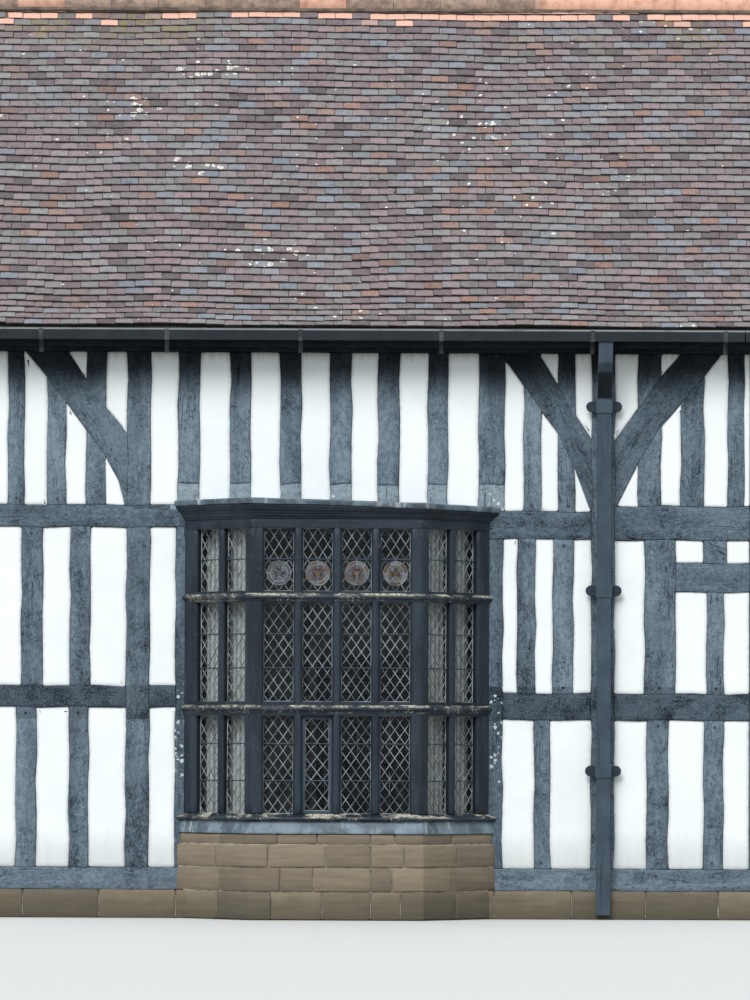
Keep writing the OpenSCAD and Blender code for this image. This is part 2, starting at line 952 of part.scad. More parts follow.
// Nodes: rainwater goods
module gutter_run(s, x0, x1) {
    difference() {
        on_slope(s, x0, x1) box2(gutter_y, gutter_y + gutter_w, gutter_top - gutter_h, gutter_top);
        on_slope(s, x0 + iron_t, x1 - iron_t)
            box2(gutter_y + iron_t, gutter_y + gutter_w - iron_t, gutter_top - gutter_h + iron_t,
                gutter_top + 1);
    }
}

module gutters() {
    color("#33373d") {
        difference() {
            gutter_run(-1, -verge_x, gutter_joint * spread);
            translate([pipe_x[0] + iron_t, -pipe_y1 + iron_t, gutter_top - gutter_h - 1])
                cube([pipe_x[1] - pipe_x[0] - 2 * iron_t, pipe_dep - 2 * iron_t, iron_t + 2]);
        }
        gutter_run(-1, gutter_joint * spread + 10, verge_x);
        gutter_run(1, -verge_x, verge_x);
    }
}

module gutter_brackets() {
    z0 = gutter_top - gutter_h;
    t = strap_t;
    color("#3f4247") for (s = [-1, 1]) for (x = bracket_x * spread)
        on_slope(s, x - strap_w / 2, x + strap_w / 2)
        polygon([[gutter_y + gutter_w, gutter_top - 5], [gutter_y + gutter_w + t, gutter_top - 5],
            [gutter_y + gutter_w + t, z0 - t], [gutter_y + t, z0 - t], [gutter_y + t, z0 - strap_tail],
            [gutter_y, z0 - strap_tail], [gutter_y, z0], [gutter_y + gutter_w, z0]]);
}

// Side view of the pipe, drawn in by t and lengthened by e at its open ends
function pipe_side(t, e) = let (z = gutter_top - gutter_h, y0 = pipe_y0, y1 = pipe_y1, d = pipe_dep - t)
    [[y1 - d, z + e], [y1 - t, z + e], [y1 - t, z - pipe_bend[0]], [y0 + d, z - pipe_bend[1]],
        [y0 + d, pipe_foot - e], [y0 + t, pipe_foot - e], [y0 + t, z - pipe_bend[1] + pipe_bend_lift],
        [y1 - d, z - pipe_bend[0] + pipe_bend_lift]];

module downpipe() {
    color("#39434d") difference() {
        on_slope(-1, pipe_x[0], pipe_x[1]) polygon(pipe_side(0, 0));
        on_slope(-1, pipe_x[0] + iron_t, pipe_x[1] - iron_t) polygon(pipe_side(iron_t, 1));
    }
}
// A collar's ears seen from the front, round at both ends
module ear_flat() {
    half = (ear_w - ear_h) / 2;
    square([2 * half, ear_h], center = true);
    for (s = [-1, 1]) translate([s * half, 0]) circle(d = ear_h);
}

module pipe_collars() {
    color("#39434d") for (z = collar_z) difference() {
        union() {
            translate([pipe_x[0] - collar_t, -pipe_y0 - pipe_dep - collar_t, z - collar_h / 2])
                cube([pipe_w + 2 * collar_t, pipe_dep + collar_t, collar_h]);
            translate([pipe_mid, -pipe_y0 + ear_t, z]) rotate([90, 0, 0]) linear_extrude(ear_t) ear_flat();
            for (s = [-1, 1]) translate([pipe_mid + s * bolt_off, -half_dep, z]) rotate([90, 0, 0])
                cylinder(d = bolt_d, h = pipe_y0 - half_dep);
        }
        translate([pipe_x[0], -pipe_y0 - pipe_dep, z - collar_h])
            cube([pipe_w, pipe_dep, 2 * collar_h]);
    }
}

// Bay window outlines in plan, d is the distance out from the face of the oak frame
function bay_wall_x(d) = bay_half + d * cant_len / bay_out;
function bay_front_x(d) = bay_front + d * (cant_len - cant_run) / bay_out;
function bay_outline(d, back) = [[-bay_wall_x(d), wall_front + back], [-bay_wall_x(d), wall_front],
    [-bay_front_x(d), wall_front - bay_out - d], [bay_front_x(d), wall_front - bay_out - d],
    [bay_wall_x(d), wall_front], [bay_wall_x(d), wall_front + back]];

module bay_ring_flat(d1, d2) {
    difference() {
        polygon(bay_outline(d1, 0));
        polygon(bay_outline(d2, 50));
    }
}

module bay_ring(z, h, d1, d2) {
    translate([bay_mid, 0, z]) linear_extrude(h) bay_ring_flat(d1, d2);
}

module on_cant(side) {
    mirror([side > 0 ? 0 : 1, 0, 0]) translate([bay_front, wall_front - bay_out, 0])
        rotate([0, 0, cant_turn]) children();
}

module bay_post_flat() {
    inner = [bay_front_x(-bay_frame), wall_front - bay_out + bay_frame];
    t = [cant_run, bay_out] / cant_len;
    n = [-bay_out, cant_run] / cant_len;
    c = [bay_front, wall_front - bay_out];
    face = bay_corner - mould_w;
    for (side = [0, 1]) mirror([side, 0]) {
        polygon([c + [-bay_corner, mould_d], c - [face, 0], c, c + face * t,
            c + bay_corner * t + mould_d * n, c + bay_corner * t + bay_frame * n, inner,
            c + [-bay_corner, bay_frame]]);
        difference() {
            translate(c) rotate(cant_turn) translate([end_post, 0]) polygon([[0, mould_d], [mould_w, 0],
                [cant_len, 0], [cant_len, bay_frame], [0, bay_frame]]);
            translate([0, wall_front]) square([house_len, half_dep]);
        }
    }
}

module mullion_section() {
    w = mullion_w / 2;
    f = w - mould_w;
    polygon([[-f, 0], [f, 0], [w, mould_d], [w, bay_frame - mould_d], [f, bay_frame], [-f, bay_frame],
        [-w, bay_frame - mould_d], [-w, mould_d]]);
}

module bay_mullion_flat() {
    for (i = [-1:1]) translate([i * light_pitch, wall_front - bay_out]) mullion_section();
    for (side = [0, 1]) mirror([side, 0]) translate([bay_front, wall_front - bay_out])
        rotate(cant_turn) translate([bay_corner + cant_light_w + mullion_w / 2, 0]) mullion_section();
}

// A moulding swept round the three sides of the bay, mitred at the corners.
// Its section is a list of [distance out from the oak's face, height], running anticlockwise.
function bay_station(k, p) =
    k == 0 ? [-bay_wall_x(p[0]), wall_front, p[1]]
    : k == 1 ? [-bay_front_x(p[0]), wall_front - bay_out - p[0], p[1]]
    : k == 2 ? [bay_front_x(p[0]), wall_front - bay_out - p[0], p[1]]
    : [bay_wall_x(p[0]), wall_front, p[1]];

module bay_mould(section) {
    n = len(section);
    translate([bay_mid, 0, 0]) polyhedron(
        points = [for (k = [0:3]) for (p = section) bay_station(k, p)],
        faces = concat([[for (i = [n - 1:-1:0]) i]], [[for (i = [0:n - 1]) 3 * n + i]],
            [for (k = [0:2]) for (i = [0:n - 1]) let (j = (i + 1) % n)
                [k * n + i, k * n + j, (k + 1) * n + j, (k + 1) * n + i]]));
}

module bay_transom(z0, z1) {
    translate([bay_mid, 0, z0]) linear_extrude(z1 - z0) difference() {
        bay_ring_flat(0, -bay_frame);
        bay_post_flat();
        bay_mullion_flat();
    }
}

// Nodes: bay window
module bay_apron() {
    color("#7f8a94") bay_mould([[-bay_frame, bay_base_z], [apron_foot_out, bay_base_z],
        [apron_foot_out - 4, bay_base_z + apron_lip], [apron_top_out, bay_sill_z],
        [-bay_frame, bay_sill_z]]);
}

module bay_sill() {
    top = glass_low[0];
    color("#2f3134") bay_mould([[-bay_frame, bay_sill_z], [sill_out - 6, bay_sill_z],
        [sill_out, bay_sill_z + 6], [sill_out, bay_sill_z + 24], [sill_out - 8, bay_sill_z + 32],
        [-mould_d, top], [-bay_frame, top]]);
}

module bay_posts() {
    color("#2f3134") translate([bay_mid, 0, glass_low[0]]) linear_extrude(glass_top[1] - glass_low[0])
        bay_post_flat();
}

module bay_mullions() {
    color("#2f3134") translate([bay_mid, 0, glass_low[0]]) linear_extrude(glass_top[1] - glass_low[0])
        bay_mullion_flat();
}

module bay_transoms() {
    color("#2f3134") {
        bay_transom(glass_low[1], glass_mid[0]);
        bay_transom(glass_mid[1], glass_top[0]);
    }
}

module bay_drips() {
    h = drip_h;
    w = drip_out;
    section = [[0, -h], [w / 4, -h], [w / 3, -h * 0.76], [w * 0.8, -h * 0.7], [w, -h * 0.6],
        [w, -h * 0.4], [w * 0.88, -h * 0.3], [0, 0]];
    color("#8b8672") for (z = [glass_mid[0] - drip_below[0], glass_top[0] - drip_below[1]])
        bay_mould([for (p = section) p + [0, z]]);
}

module bay_head() {
    color("#2f3134") bay_ring(glass_top[1], cornice_z - glass_top[1], 0, -head_dep);
}

module bay_cornice() {
    w = cornice_out;
    h = cornice_h;
    section = [[-head_dep, 0], [w * 0.16, 0], [w * 0.16, h * 0.13], [w * 0.36, h * 0.17],
        [w * 0.36, h * 0.34], [w * 0.46, h * 0.38], [w * 0.54, h * 0.52], [w * 0.74, h * 0.62],
        [w * 0.82, h * 0.64], [w * 0.82, h * 0.76], [w, h * 0.82], [w, h], [-head_dep, h]];
    color("#34373b") bay_mould([for (p = section) p + [0, cornice_z]]);
}

module bay_lead_roof() {
    w = bay_outline(lead_out - 20, 0);
    z0 = cornice_top + lead_t;
    z1 = z0 + lead_rise;
    pts = concat([for (i = [1:4]) [w[i][0], w[i][1], z0]],
        [[-bay_front, wall_front, z1], [bay_front, wall_front, z1]]);
    color("#4a535d") {
        translate([bay_mid, 0, cornice_top]) linear_extrude(lead_t) polygon(bay_outline(lead_out, 0));
        translate([bay_mid, 0, 0])
            polyhedron(pts, [[0, 1, 2, 3], [4, 1, 0], [4, 5, 2, 1], [5, 3, 2], [5, 4, 0, 3]]);
    }
}

module bay_panes(grow) {
    for (row = [glass_low, glass_mid, glass_top]) {
        for (i = [-1.5:1:1.5]) if (grow > 0 || !(row == glass_low && i == -0.5))
            translate([bay_mid + i * light_pitch - light_w / 2, wall_front - bay_out + glass_in, row[0]])
                cube([light_w, glass_t, row[1] - row[0]]);
        translate([bay_mid, 0, 0]) for (side = [-1, 1]) for (j = [0, 1]) on_cant(side)
            translate([bay_corner + j * (cant_light_w + mullion_w), glass_in, row[0]])
                cube([cant_light_w, glass_t, row[1] - row[0]]);
    }
}

module casement_box(inset) {
    translate([bay_mid - light_pitch / 2 - light_w / 2 + inset, wall_front - bay_out + glass_in - 14,
        glass_low[0] + inset]) cube([light_w - 2 * inset, 28, glass_low[1] - glass_low[0] - 2 * inset]);
}

module bay_glass() {
    color("#8a99a3") {
        bay_panes(0);
        intersection() {
            casement_box(casement_w);
            translate([bay_mid - house_len / 2, wall_front - bay_out + glass_in, 0])
                cube([house_len, glass_t, plate_z]);
        }
    }
}

module bay_casement() {
    color("#25282b") difference() {
        casement_box(0);
        translate([0, -100, 0]) casement_hole();
    }
}

module casement_hole() {
    translate([bay_mid - light_pitch / 2 - light_w / 2 + casement_w, wall_front - bay_out,
        glass_low[0] + casement_w])
        cube([light_w - 2 * casement_w, 300, glass_low[1] - glass_low[0] - 2 * casement_w]);
}

module bay_curtains() {
    color("#d9d6cc") translate([bay_mid, 0, 0]) for (side = [-1, 1]) on_cant(side)
        translate([bay_corner + curtain_ends[0], head_dep - curtain_t - 20, bay_sill_z - 60])
            cube([cant_len - bay_corner - curtain_ends[0] - curtain_ends[1], curtain_t,
                glass_top[1] - bay_sill_z + 60]);
}

front_plinth();
back_plinth();
side_plinths();
bay_plinth();
ground_floor();
sill_beams();
corner_posts();
main_posts();
window_posts();
wall_plates();
tie_beams();
front_rails();
front_upper_studs();
front_middle_studs();
front_lower_studs();
front_braces();
front_upper_panels();
front_middle_panels();
front_lower_panels();
back_rails();
back_braces();
back_studs();
back_panels();
back_door_frame();
back_door();
back_windows();
back_glass();
end_posts();
end_rails();
end_braces();
end_studs();
end_panels();
rafters();
roof_front();
roof_back();
ridge_tiles();
barge_boards();
fascias();
gutters();
gutter_brackets();
downpipe();
pipe_collars();
bay_apron();
bay_sill();
bay_posts();
bay_mullions();
bay_transoms();
bay_drips();
bay_head();
bay_cornice();
bay_lead_roof();
bay_glass();
bay_casement();
bay_curtains();
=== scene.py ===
"""The looks of the half timbered house: tarred oak, limed plaster, clay tiles and the leaded bay window."""

import functools
import json
import logging
import math
import random
from dataclasses import dataclass, field
from enum import Enum
from typing import Callable, Optional, Sequence

import bmesh
import bpy
import numpy as np
from mathutils import Matrix, Vector

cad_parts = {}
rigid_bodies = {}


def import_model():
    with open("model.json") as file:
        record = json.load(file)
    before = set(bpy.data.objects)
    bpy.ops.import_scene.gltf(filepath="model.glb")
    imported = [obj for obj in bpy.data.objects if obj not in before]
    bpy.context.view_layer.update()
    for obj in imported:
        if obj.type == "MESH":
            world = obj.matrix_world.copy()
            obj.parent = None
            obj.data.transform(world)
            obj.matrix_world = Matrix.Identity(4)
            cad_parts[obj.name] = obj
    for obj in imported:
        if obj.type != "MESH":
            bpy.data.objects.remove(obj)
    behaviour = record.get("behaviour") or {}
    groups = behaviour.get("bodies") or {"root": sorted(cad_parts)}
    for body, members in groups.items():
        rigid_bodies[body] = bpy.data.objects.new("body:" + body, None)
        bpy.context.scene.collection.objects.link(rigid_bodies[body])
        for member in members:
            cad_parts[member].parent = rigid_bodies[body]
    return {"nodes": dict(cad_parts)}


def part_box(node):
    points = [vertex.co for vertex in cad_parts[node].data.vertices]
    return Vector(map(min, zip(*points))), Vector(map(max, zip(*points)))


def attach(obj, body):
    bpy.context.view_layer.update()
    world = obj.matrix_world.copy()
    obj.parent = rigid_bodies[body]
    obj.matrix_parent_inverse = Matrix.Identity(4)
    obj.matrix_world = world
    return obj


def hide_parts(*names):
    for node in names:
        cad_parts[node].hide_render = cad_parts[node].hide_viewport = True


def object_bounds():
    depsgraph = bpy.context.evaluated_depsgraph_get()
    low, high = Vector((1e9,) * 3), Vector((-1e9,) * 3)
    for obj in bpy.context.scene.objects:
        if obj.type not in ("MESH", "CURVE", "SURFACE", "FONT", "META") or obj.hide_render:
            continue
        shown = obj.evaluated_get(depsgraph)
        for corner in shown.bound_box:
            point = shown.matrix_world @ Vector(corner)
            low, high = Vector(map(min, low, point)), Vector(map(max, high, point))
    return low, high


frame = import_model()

CAD_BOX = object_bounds()
LOG = logging.getLogger("house")
Solid = bmesh.types.BMesh
Outline = Sequence[tuple[float, float]]


def rgb(r: int, g: int, b: int) -> tuple[float, float, float, float]:
    """Turns a colour as it is seen, 0 to 255 a channel, into the linear colour that a shader takes."""
    def linear(c: float) -> float:
        """One channel of it."""
        c = c / 255
        return c / 12.92 if c <= 0.04045 else ((c + 0.055) / 1.055) ** 2.4
    return linear(r), linear(g), linear(b), 1.0


def placed(name: str, data) -> bpy.types.Object:
    """Returns a new object in the scene."""
    made = bpy.data.objects.new(name, data)
    bpy.context.scene.collection.objects.link(made)
    return made


# Node trees

def arithmetic(operation: str, swapped: bool = False) -> Callable:
    """Returns a method of Value that adds one arithmetic node."""
    def apply(self: "Value", other=0.0) -> "Value":
        """Returns the node's result."""
        return self.nodes.math(operation, *((other, self) if swapped else (self, other)))
    return apply


class Value:
    """An output of a node, the first unless another is picked by name or number; arithmetic adds nodes."""

    def __init__(self, nodes: "Nodes", node: bpy.types.Node, key=0) -> None:
        """Args:
            nodes: the tree that arithmetic goes into.
            node: the node.
            key: the output's name or number.
        """
        self.nodes, self.node = nodes, node
        self.socket = node.outputs[key] if len(node.outputs) else None

    def __getitem__(self, key) -> "Value":
        """Returns another output of the same node."""
        return Value(self.nodes, self.node, key)

    __add__ = __radd__ = arithmetic("ADD")
    __mul__ = __rmul__ = arithmetic("MULTIPLY")
    __sub__, __rsub__ = arithmetic("SUBTRACT"), arithmetic("SUBTRACT", True)
    __truediv__, __mod__, __pow__ = arithmetic("DIVIDE"), arithmetic("MODULO"), arithmetic("POWER")
    __gt__, __lt__, __abs__ = arithmetic("GREATER_THAN"), arithmetic("LESS_THAN"), arithmetic("ABSOLUTE")


class Nodes:
    """Short names for the nodes of one tree."""

    def __init__(self, tree: bpy.types.NodeTree) -> None:
        """Takes the node tree that the methods add to."""
        self.tree = tree

    def put(self, node: Value, key, value) -> None:
        """Links an input of a node, or sets the input's own value."""
        if isinstance(value, Value):
            self.tree.links.new(value.socket, node.node.inputs[key])
        else:
            node.node.inputs[key].default_value = value

    def add(self, kind: str, inputs: Optional[dict] = None, **settings) -> Value:
        """Adds a node.

        Args:
            kind: the node's type name; ShaderNode goes before it unless it is a full name.
            inputs: values by the input's name or number.
            settings: properties of the node.

        Returns:
            The new node.
        """
        full = kind if kind.startswith(("GeometryNode", "FunctionNode", "NodeGroup")) else "ShaderNode" + kind
        made = self.tree.nodes.new(full)
        for name, value in settings.items():
            setattr(made, name, value)
        made = Value(self, made)
        for key, value in (inputs or {}).items():
            self.put(made, key, value)
        return made

    def math(self, operation: str, a, b=0.0, c=0.0, clamp: bool = False) -> Value:
        """Returns the result of one arithmetic node."""
        return self.add("Math", {0: a, 1: b, 2: c}, operation=operation, use_clamp=clamp)

    def vector(self, operation: str, a, b=(0.0, 0.0, 0.0)) -> Value:
        """Returns the result of one vector node."""
        return self.add("VectorMath", {0: a, 1: b}, operation=operation)

    def split(self, vector: Value) -> tuple:
        """Returns a vector's three parts."""
        parts = self.add("SeparateXYZ", {0: vector})
        return parts[0], parts[1], parts[2]

    def joined(self, x, y, z) -> Value:
        """Returns a vector from its three parts."""
        return self.add("CombineXYZ", {0: x, 1: y, 2: z})


class Shader(Nodes):
    """Short names for the nodes of a shader tree."""

    @classmethod
    def of(cls, owner) -> "Shader":
        """Returns the emptied nodes of a material or a world."""
        owner.use_nodes = True
        owner.node_tree.nodes.clear()
        return cls(owner.node_tree)

    def mix(self, factor, a, b, blend: str = "MIX") -> Value:
        """Returns two colours mixed by a factor."""
        return self.add("Mix", {0: factor, 6: a, 7: b}, data_type="RGBA", blend_type=blend)[2]

    def noise(self, vector, scale: float, detail: float = 3.0, rough: float = 0.55, bend=0.0) -> Value:
        """Returns a soft random value over a surface."""
        return self.add("TexNoise", {"Vector": vector, "Scale": scale, "Detail": detail, "Roughness": rough,
                                     "Distortion": bend})

    def cells(self, vector, scale: float, feature: str = "F1", spread: float = 1.0) -> Value:
        """Returns a node that splits a surface into random cells."""
        return self.add("TexVoronoi", {"Vector": vector, "Scale": scale, "Randomness": spread},
                        feature=feature)

    def stretch(self, vector, x: float, y: float, z: float) -> Value:
        """Returns a vector scaled by three numbers, so that a pattern runs long one way."""
        return self.vector("MULTIPLY", vector, (x, y, z))

    def shift(self, vector, by) -> Value:
        """Returns a vector moved by another."""
        return self.vector("ADD", vector, by)

    def band(self, value, low: float, high: float, start: float = 0.0, end: float = 1.0) -> Value:
        """Returns a value eased from start to end while the input goes from low to high."""
        return self.add("MapRange", {0: value, 1: low, 2: high, 3: start, 4: end},
                        interpolation_type="SMOOTHSTEP")

    def ramp(self, value, stops: Sequence[tuple[float, tuple]]) -> Value:
        """Returns a colour picked along a list of (place, colour)."""
        made = self.add("ValToRGB", {0: value})
        keys = made.node.color_ramp.elements
        while len(keys) < len(stops):
            keys.new(1.0)
        for key, (place, colour) in zip(keys, stops):
            key.position = place
            key.color = colour
        return made

    def most(self, values: Sequence[Value]) -> Value:
        """Returns the largest of some values."""
        return functools.reduce(lambda a, b: self.math("MAXIMUM", a, b), values)

    def over(self, colour, *layers: tuple) -> Value:
        """Returns a colour under more colours, each given with its share."""
        for share, top in layers:
            colour = self.mix(share, colour, top)
        return colour

    def read(self, name: str) -> Value:
        """Returns an attribute of the mesh, as a number unless another output is picked."""
        return self.add("Attribute", attribute_name=name)["Fac"]

    def use(self, group: bpy.types.NodeTree, **inputs) -> Value:
        """Returns a node group with its inputs set."""
        return self.add("Group", inputs, node_tree=group)


def effect(name: str, **numbers: float) -> Callable:
    """Turns a function that fills a shader group into one that returns the group, built once.

    Args:
        name: the group's name.
        numbers: the default of each number that the group takes beside its vector.

    Returns:
        The decorator.
    """
    def decorate(fill: Callable) -> Callable:
        """Returns the function that gives the group."""
        def group() -> bpy.types.NodeTree:
            """Returns the group."""
            tree = bpy.data.node_groups.get(name)
            if tree:
                return tree
            tree = bpy.data.node_groups.new(name, "ShaderNodeTree")
            tree.interface.new_socket("Vector", in_out="INPUT", socket_type="NodeSocketVector")
            for key, value in numbers.items():
                number = tree.interface.new_socket(key, in_out="INPUT", socket_type="NodeSocketFloat")
                number.default_value = value
            s = Shader(tree)
            made = fill(s, s.add("NodeGroupInput"))
            for key in made:
                tree.interface.new_socket(key, in_out="OUTPUT", socket_type="NodeSocketFloat")
            s.add("NodeGroupOutput", made)
            return tree
        return group
    return decorate


@effect("timber grain", Cracks=1.0, Pits=1.0)
def grain_effect(s: Shader, i: Value) -> dict:
    """Blisters, short streaks, drying cracks and pits in the tar along a timber."""
    at = i["Vector"]
    long = s.noise(s.stretch(at, 4.5, 42, 42), 1.0, 4, 0.6, 0.4)
    blister = s.noise(s.stretch(at, 20, 28, 28), 1.0, 5, 0.75)
    streak = long * 0.22 + blister * 0.78
    broad = s.noise(s.stretch(at, 1.1, 7, 7), 1.0, 3, 0.5)
    line = abs(s.noise(s.stretch(at, 1.3, 21, 21), 1.0, 2, 0.5, 1.3) - 0.5)
    where = s.band(s.noise(s.stretch(at, 2.1, 5, 5), 1.0, 2), 0.52, 0.66)
    cracks = s.band(line, 0.003, 0.015, 1.0, 0.0) * where * i["Cracks"]
    pits = s.band(s.cells(s.stretch(at, 36, 58, 58), 1.0), 0.12, 0.40, 1.0, 0.0)
    pits = pits * s.band(s.noise(at, 7.5, 4, 0.65), 0.40, 0.62) * i["Pits"]
    height = streak * 1.1 - cracks * 1.3 - pits * 0.45
    return {"Streak": streak, "Broad": broad, "Crack": cracks, "Pit": pits, "Height": height}


@effect("lichen spots", Scale=10.0, Amount=0.1)
def spot_effect(s: Shader, i: Value) -> dict:
    """Round patches of lichen in loose groups."""
    at = s.add("VectorMath", {0: i["Vector"], "Scale": i["Scale"]}, operation="SCALE")
    bent = s.shift(at, s.stretch(s.add("TexNoise", {"Vector": at, "Scale": 2.2})["Color"], 0.8, 0.8, 0.8))
    cell = s.cells(bent, 1.0)
    edge = (s.split(cell["Color"])[0] - (1.0 - i["Amount"])) * 1.6 - cell["Distance"]
    return {"Spot": s.band(edge, 0.0, 0.06), "Ring": s.band(edge, 0.1, 0.25, 1.0, 0.55)}


@effect("ragged wear", Mask=1.0, Amount=0.5)
def wear_effect(s: Shader, i: Value) -> dict:
    """Ragged wear from a mask: a number that is 1 at an edge becomes chipped patches."""
    both = s.noise(i["Vector"], 60, 4, 0.65) * 0.6 + s.noise(i["Vector"], 6, 2, 0.5) * 0.4
    near = i["Mask"] ** 4.0
    return {"Worn": s.band(both + near * i["Amount"] - 1.0, -0.06, 0.06) * s.band(near, 0.03, 0.3)}


@dataclass(frozen=True)
class Finish:
    """One finish of the house, made as a material when it is first used."""

    name: str
    slot: str

    def shade(self, s: Shader, at: Value) -> Value:
        """Returns the material's shader, made for the point on the object; each finish has its own."""
        raise NotImplementedError

    def surface(self, s: Shader, colour, rough, height=None, depth: float = 0.003, **plain) -> Value:
        """Adds the one shader that every finish ends in.

        Args:
            s: the material's nodes.
            colour: base colour or its socket.
            rough: roughness or its socket.
            height: height for the bump, or None.
            depth: what a height of 1 stands for, in metres.
            plain: more inputs of the shader, set on its own sockets, by name with underscores.

        Returns:
            The shader node.
        """
        inputs = {"Base Color": colour, "Roughness": rough}
        inputs.update({key.replace("_", " "): value for key, value in plain.items()})
        if height is not None:
            inputs["Normal"] = s.add("Bump", {"Height": height, "Distance": depth, "Strength": 1.0})
        return s.add("BsdfPrincipled", inputs)

    def material(self) -> bpy.types.Material:
        """Returns the finish's material."""
        found = bpy.data.materials.get(self.name)
        if found:
            return found
        made = bpy.data.materials.new(self.name)
        s = Shader.of(made)
        s.add("OutputMaterial", {"Surface": self.shade(s, s.add("TexCoord")["Object"])})
        return made


@dataclass(frozen=True)
class TarredOak(Finish):
    """Oak under old tar, weathered blue grey; black under the eaves, partly tar and partly painted shade of
    the eaves.
    """

    light: tuple = rgb(130, 146, 159)
    middle: tuple = rgb(88, 103, 116)
    dark: tuple = rgb(44, 54, 63)
    black: tuple = rgb(9, 13, 17)
    low_rail: tuple = (1.79, 2.10)
    flaked: tuple = (99.0, 99.0)
    eaves: float = 5.02
    dry: float = 0.44
    foot: tuple = (-1.80, 1.30, 3.925)

    def shade(self, s: Shader, at: Value) -> Value:
        """Returns the shader."""
        grain = s.use(grain_effect(), Vector=s.read("grain")["Vector"])
        x, y, z = s.split(at)
        low, high = self.low_rail
        value = (s.band(grain["Streak"], 0.34, 0.66, 0.0, 0.6) + s.band(grain["Broad"], 0.33, 0.67, 0.0, 0.4)
                 + s.band(s.read("tone"), 0.0, 1.0, -0.14, 0.10) + s.band(z, 3.6, 4.2, 0.0, 0.14)
                 - (z > low) * (z < high) * 0.42)
        colour = s.ramp(value, [(0.05, self.dark), (0.5, self.middle), (1.0, self.light)])
        pebble = s.noise(at, 66, 3, 0.7)
        colour = s.over(colour, (s.band(s.noise(at, 11, 4, 0.7), 0.52, 0.72, 0.0, 0.45), self.dark),
                        (s.band(pebble, 0.52, 0.72, 0.0, 0.45), self.light),
                        (s.band(pebble, 0.3, 0.46, 0.55, 0.0), self.dark))
        high = z + (s.noise(at, 3, 3) - 0.5) * 0.3
        colour = self.feet(s, at, (x, y, z), colour)
        # Darkening towards black under the eaves: partly the tar there, partly painted shade of the eaves.
        under = s.band(high, self.eaves - self.dry, self.eaves, 0.0, 0.89)
        low, high = self.flaked
        here = s.band(z, low, low + 0.3, 0.0, 0.42) * s.band(z, high - 0.3, high, 1.0, 0.0)
        flakes = s.use(spot_effect(), Vector=at, Scale=30.0, Amount=here)
        edge = s.use(wear_effect(), Vector=at, Mask=s.read("edge"), Amount=0.52)
        colour = s.over(colour, (grain["Pit"] * 0.85, self.black), (grain["Crack"] * 0.95, self.black),
                        (under, self.black), (flakes["Spot"], rgb(206, 212, 214)),
                        (edge["Worn"] * (0.35 - under * 0.35), self.light))
        rough = s.band(grain["Streak"], 0.3, 0.7, 0.62, 0.85)
        return self.surface(s, colour, rough, grain["Height"], 0.006, Specular_IOR_Level=0.07)

    def feet(self, s: Shader, at, place: tuple, colour) -> Value:
        """Returns the colour with the pale, patched feet of the studs over the bay window.

        Args:
            s: the material's nodes.
            at: the point on the object.
            place: its three parts.
            colour: the timber's colour.

        Returns:
            The new colour.
        """
        x, y, z = place
        left, right, top = self.foot
        level = z + (s.noise(at, 5, 2) - 0.5) * 0.06
        inside = (x > left) * (x < right) * (y < -2.6) * (z > 3.69)
        pale = inside * s.band(level, top - 0.004, top + 0.004, 0.85, 0.0)
        line = inside * s.band(abs(level - top), 0.004, 0.011, 0.8, 0.0)
        grey = s.mix(s.band(s.noise(at, 20, 4, 0.7), 0.35, 0.7), rgb(134, 149, 158), rgb(168, 182, 190))
        spots = s.use(spot_effect(), Vector=at, Scale=26.0, Amount=s.band(level, 3.70, top, 0.5, 0.1))
        colour = s.over(colour, (pale, grey), (pale * spots["Spot"], rgb(232, 236, 236)))
        return s.mix(line, colour, self.black)


@dataclass(frozen=True)
class LimedPlaster(Finish):
    """Limewashed plaster, darker green grey under the eaves and a little along its edges, as stain and as
    painted shade.
    """

    white: tuple = rgb(246, 251, 252)
    cream: tuple = rgb(239, 245, 246)
    stain_and_shade: tuple = rgb(142, 148, 144)
    dirt_and_shade: tuple = rgb(150, 155, 153)
    eaves: float = 5.12

    def shade(self, s: Shader, at: Value) -> Value:
        """Returns the shader."""
        colour = s.mix(s.band(s.noise(at, 1.7, 4, 0.6), 0.35, 0.7), self.white, self.cream)
        runs = s.noise(s.stretch(at, 22, 22, 2.2), 1.0, 3, 0.6)
        z = s.split(at)[2]
        # Green grey band under the eaves: partly stain, partly painted shade of the eaves.
        top = s.band(z + runs * 0.16, self.eaves - 0.02, self.eaves + 0.12, 0.0, 0.5)
        # Darker along the panel edges beside the timbers: partly dirt, partly painted shade.
        rub_and_shade = s.read("edge") ** 2.0 * s.band(s.noise(at, 14, 3), 0.3, 0.7, 0.3, 0.9)
        foot = s.math("SUBTRACT", s.band(z, 0.45, 0.95, 0.45, 0.0), runs * 0.2, clamp=True)
        # A faint band just below the eaves is painted shade; the panels also grow darker towards their foot.
        colour = s.over(colour, (s.band(z, self.eaves - 0.2, self.eaves, 0.0, 0.02), self.dirt_and_shade),
                        (top, self.stain_and_shade), (rub_and_shade, self.dirt_and_shade), (foot, self.dirt_and_shade))
        height = s.noise(at, 120, 3, 0.6) * 0.2 + s.noise(at, 9, 3, 0.5)
        return self.surface(s, colour, 0.9, height, 0.004, Specular_IOR_Level=0.2)


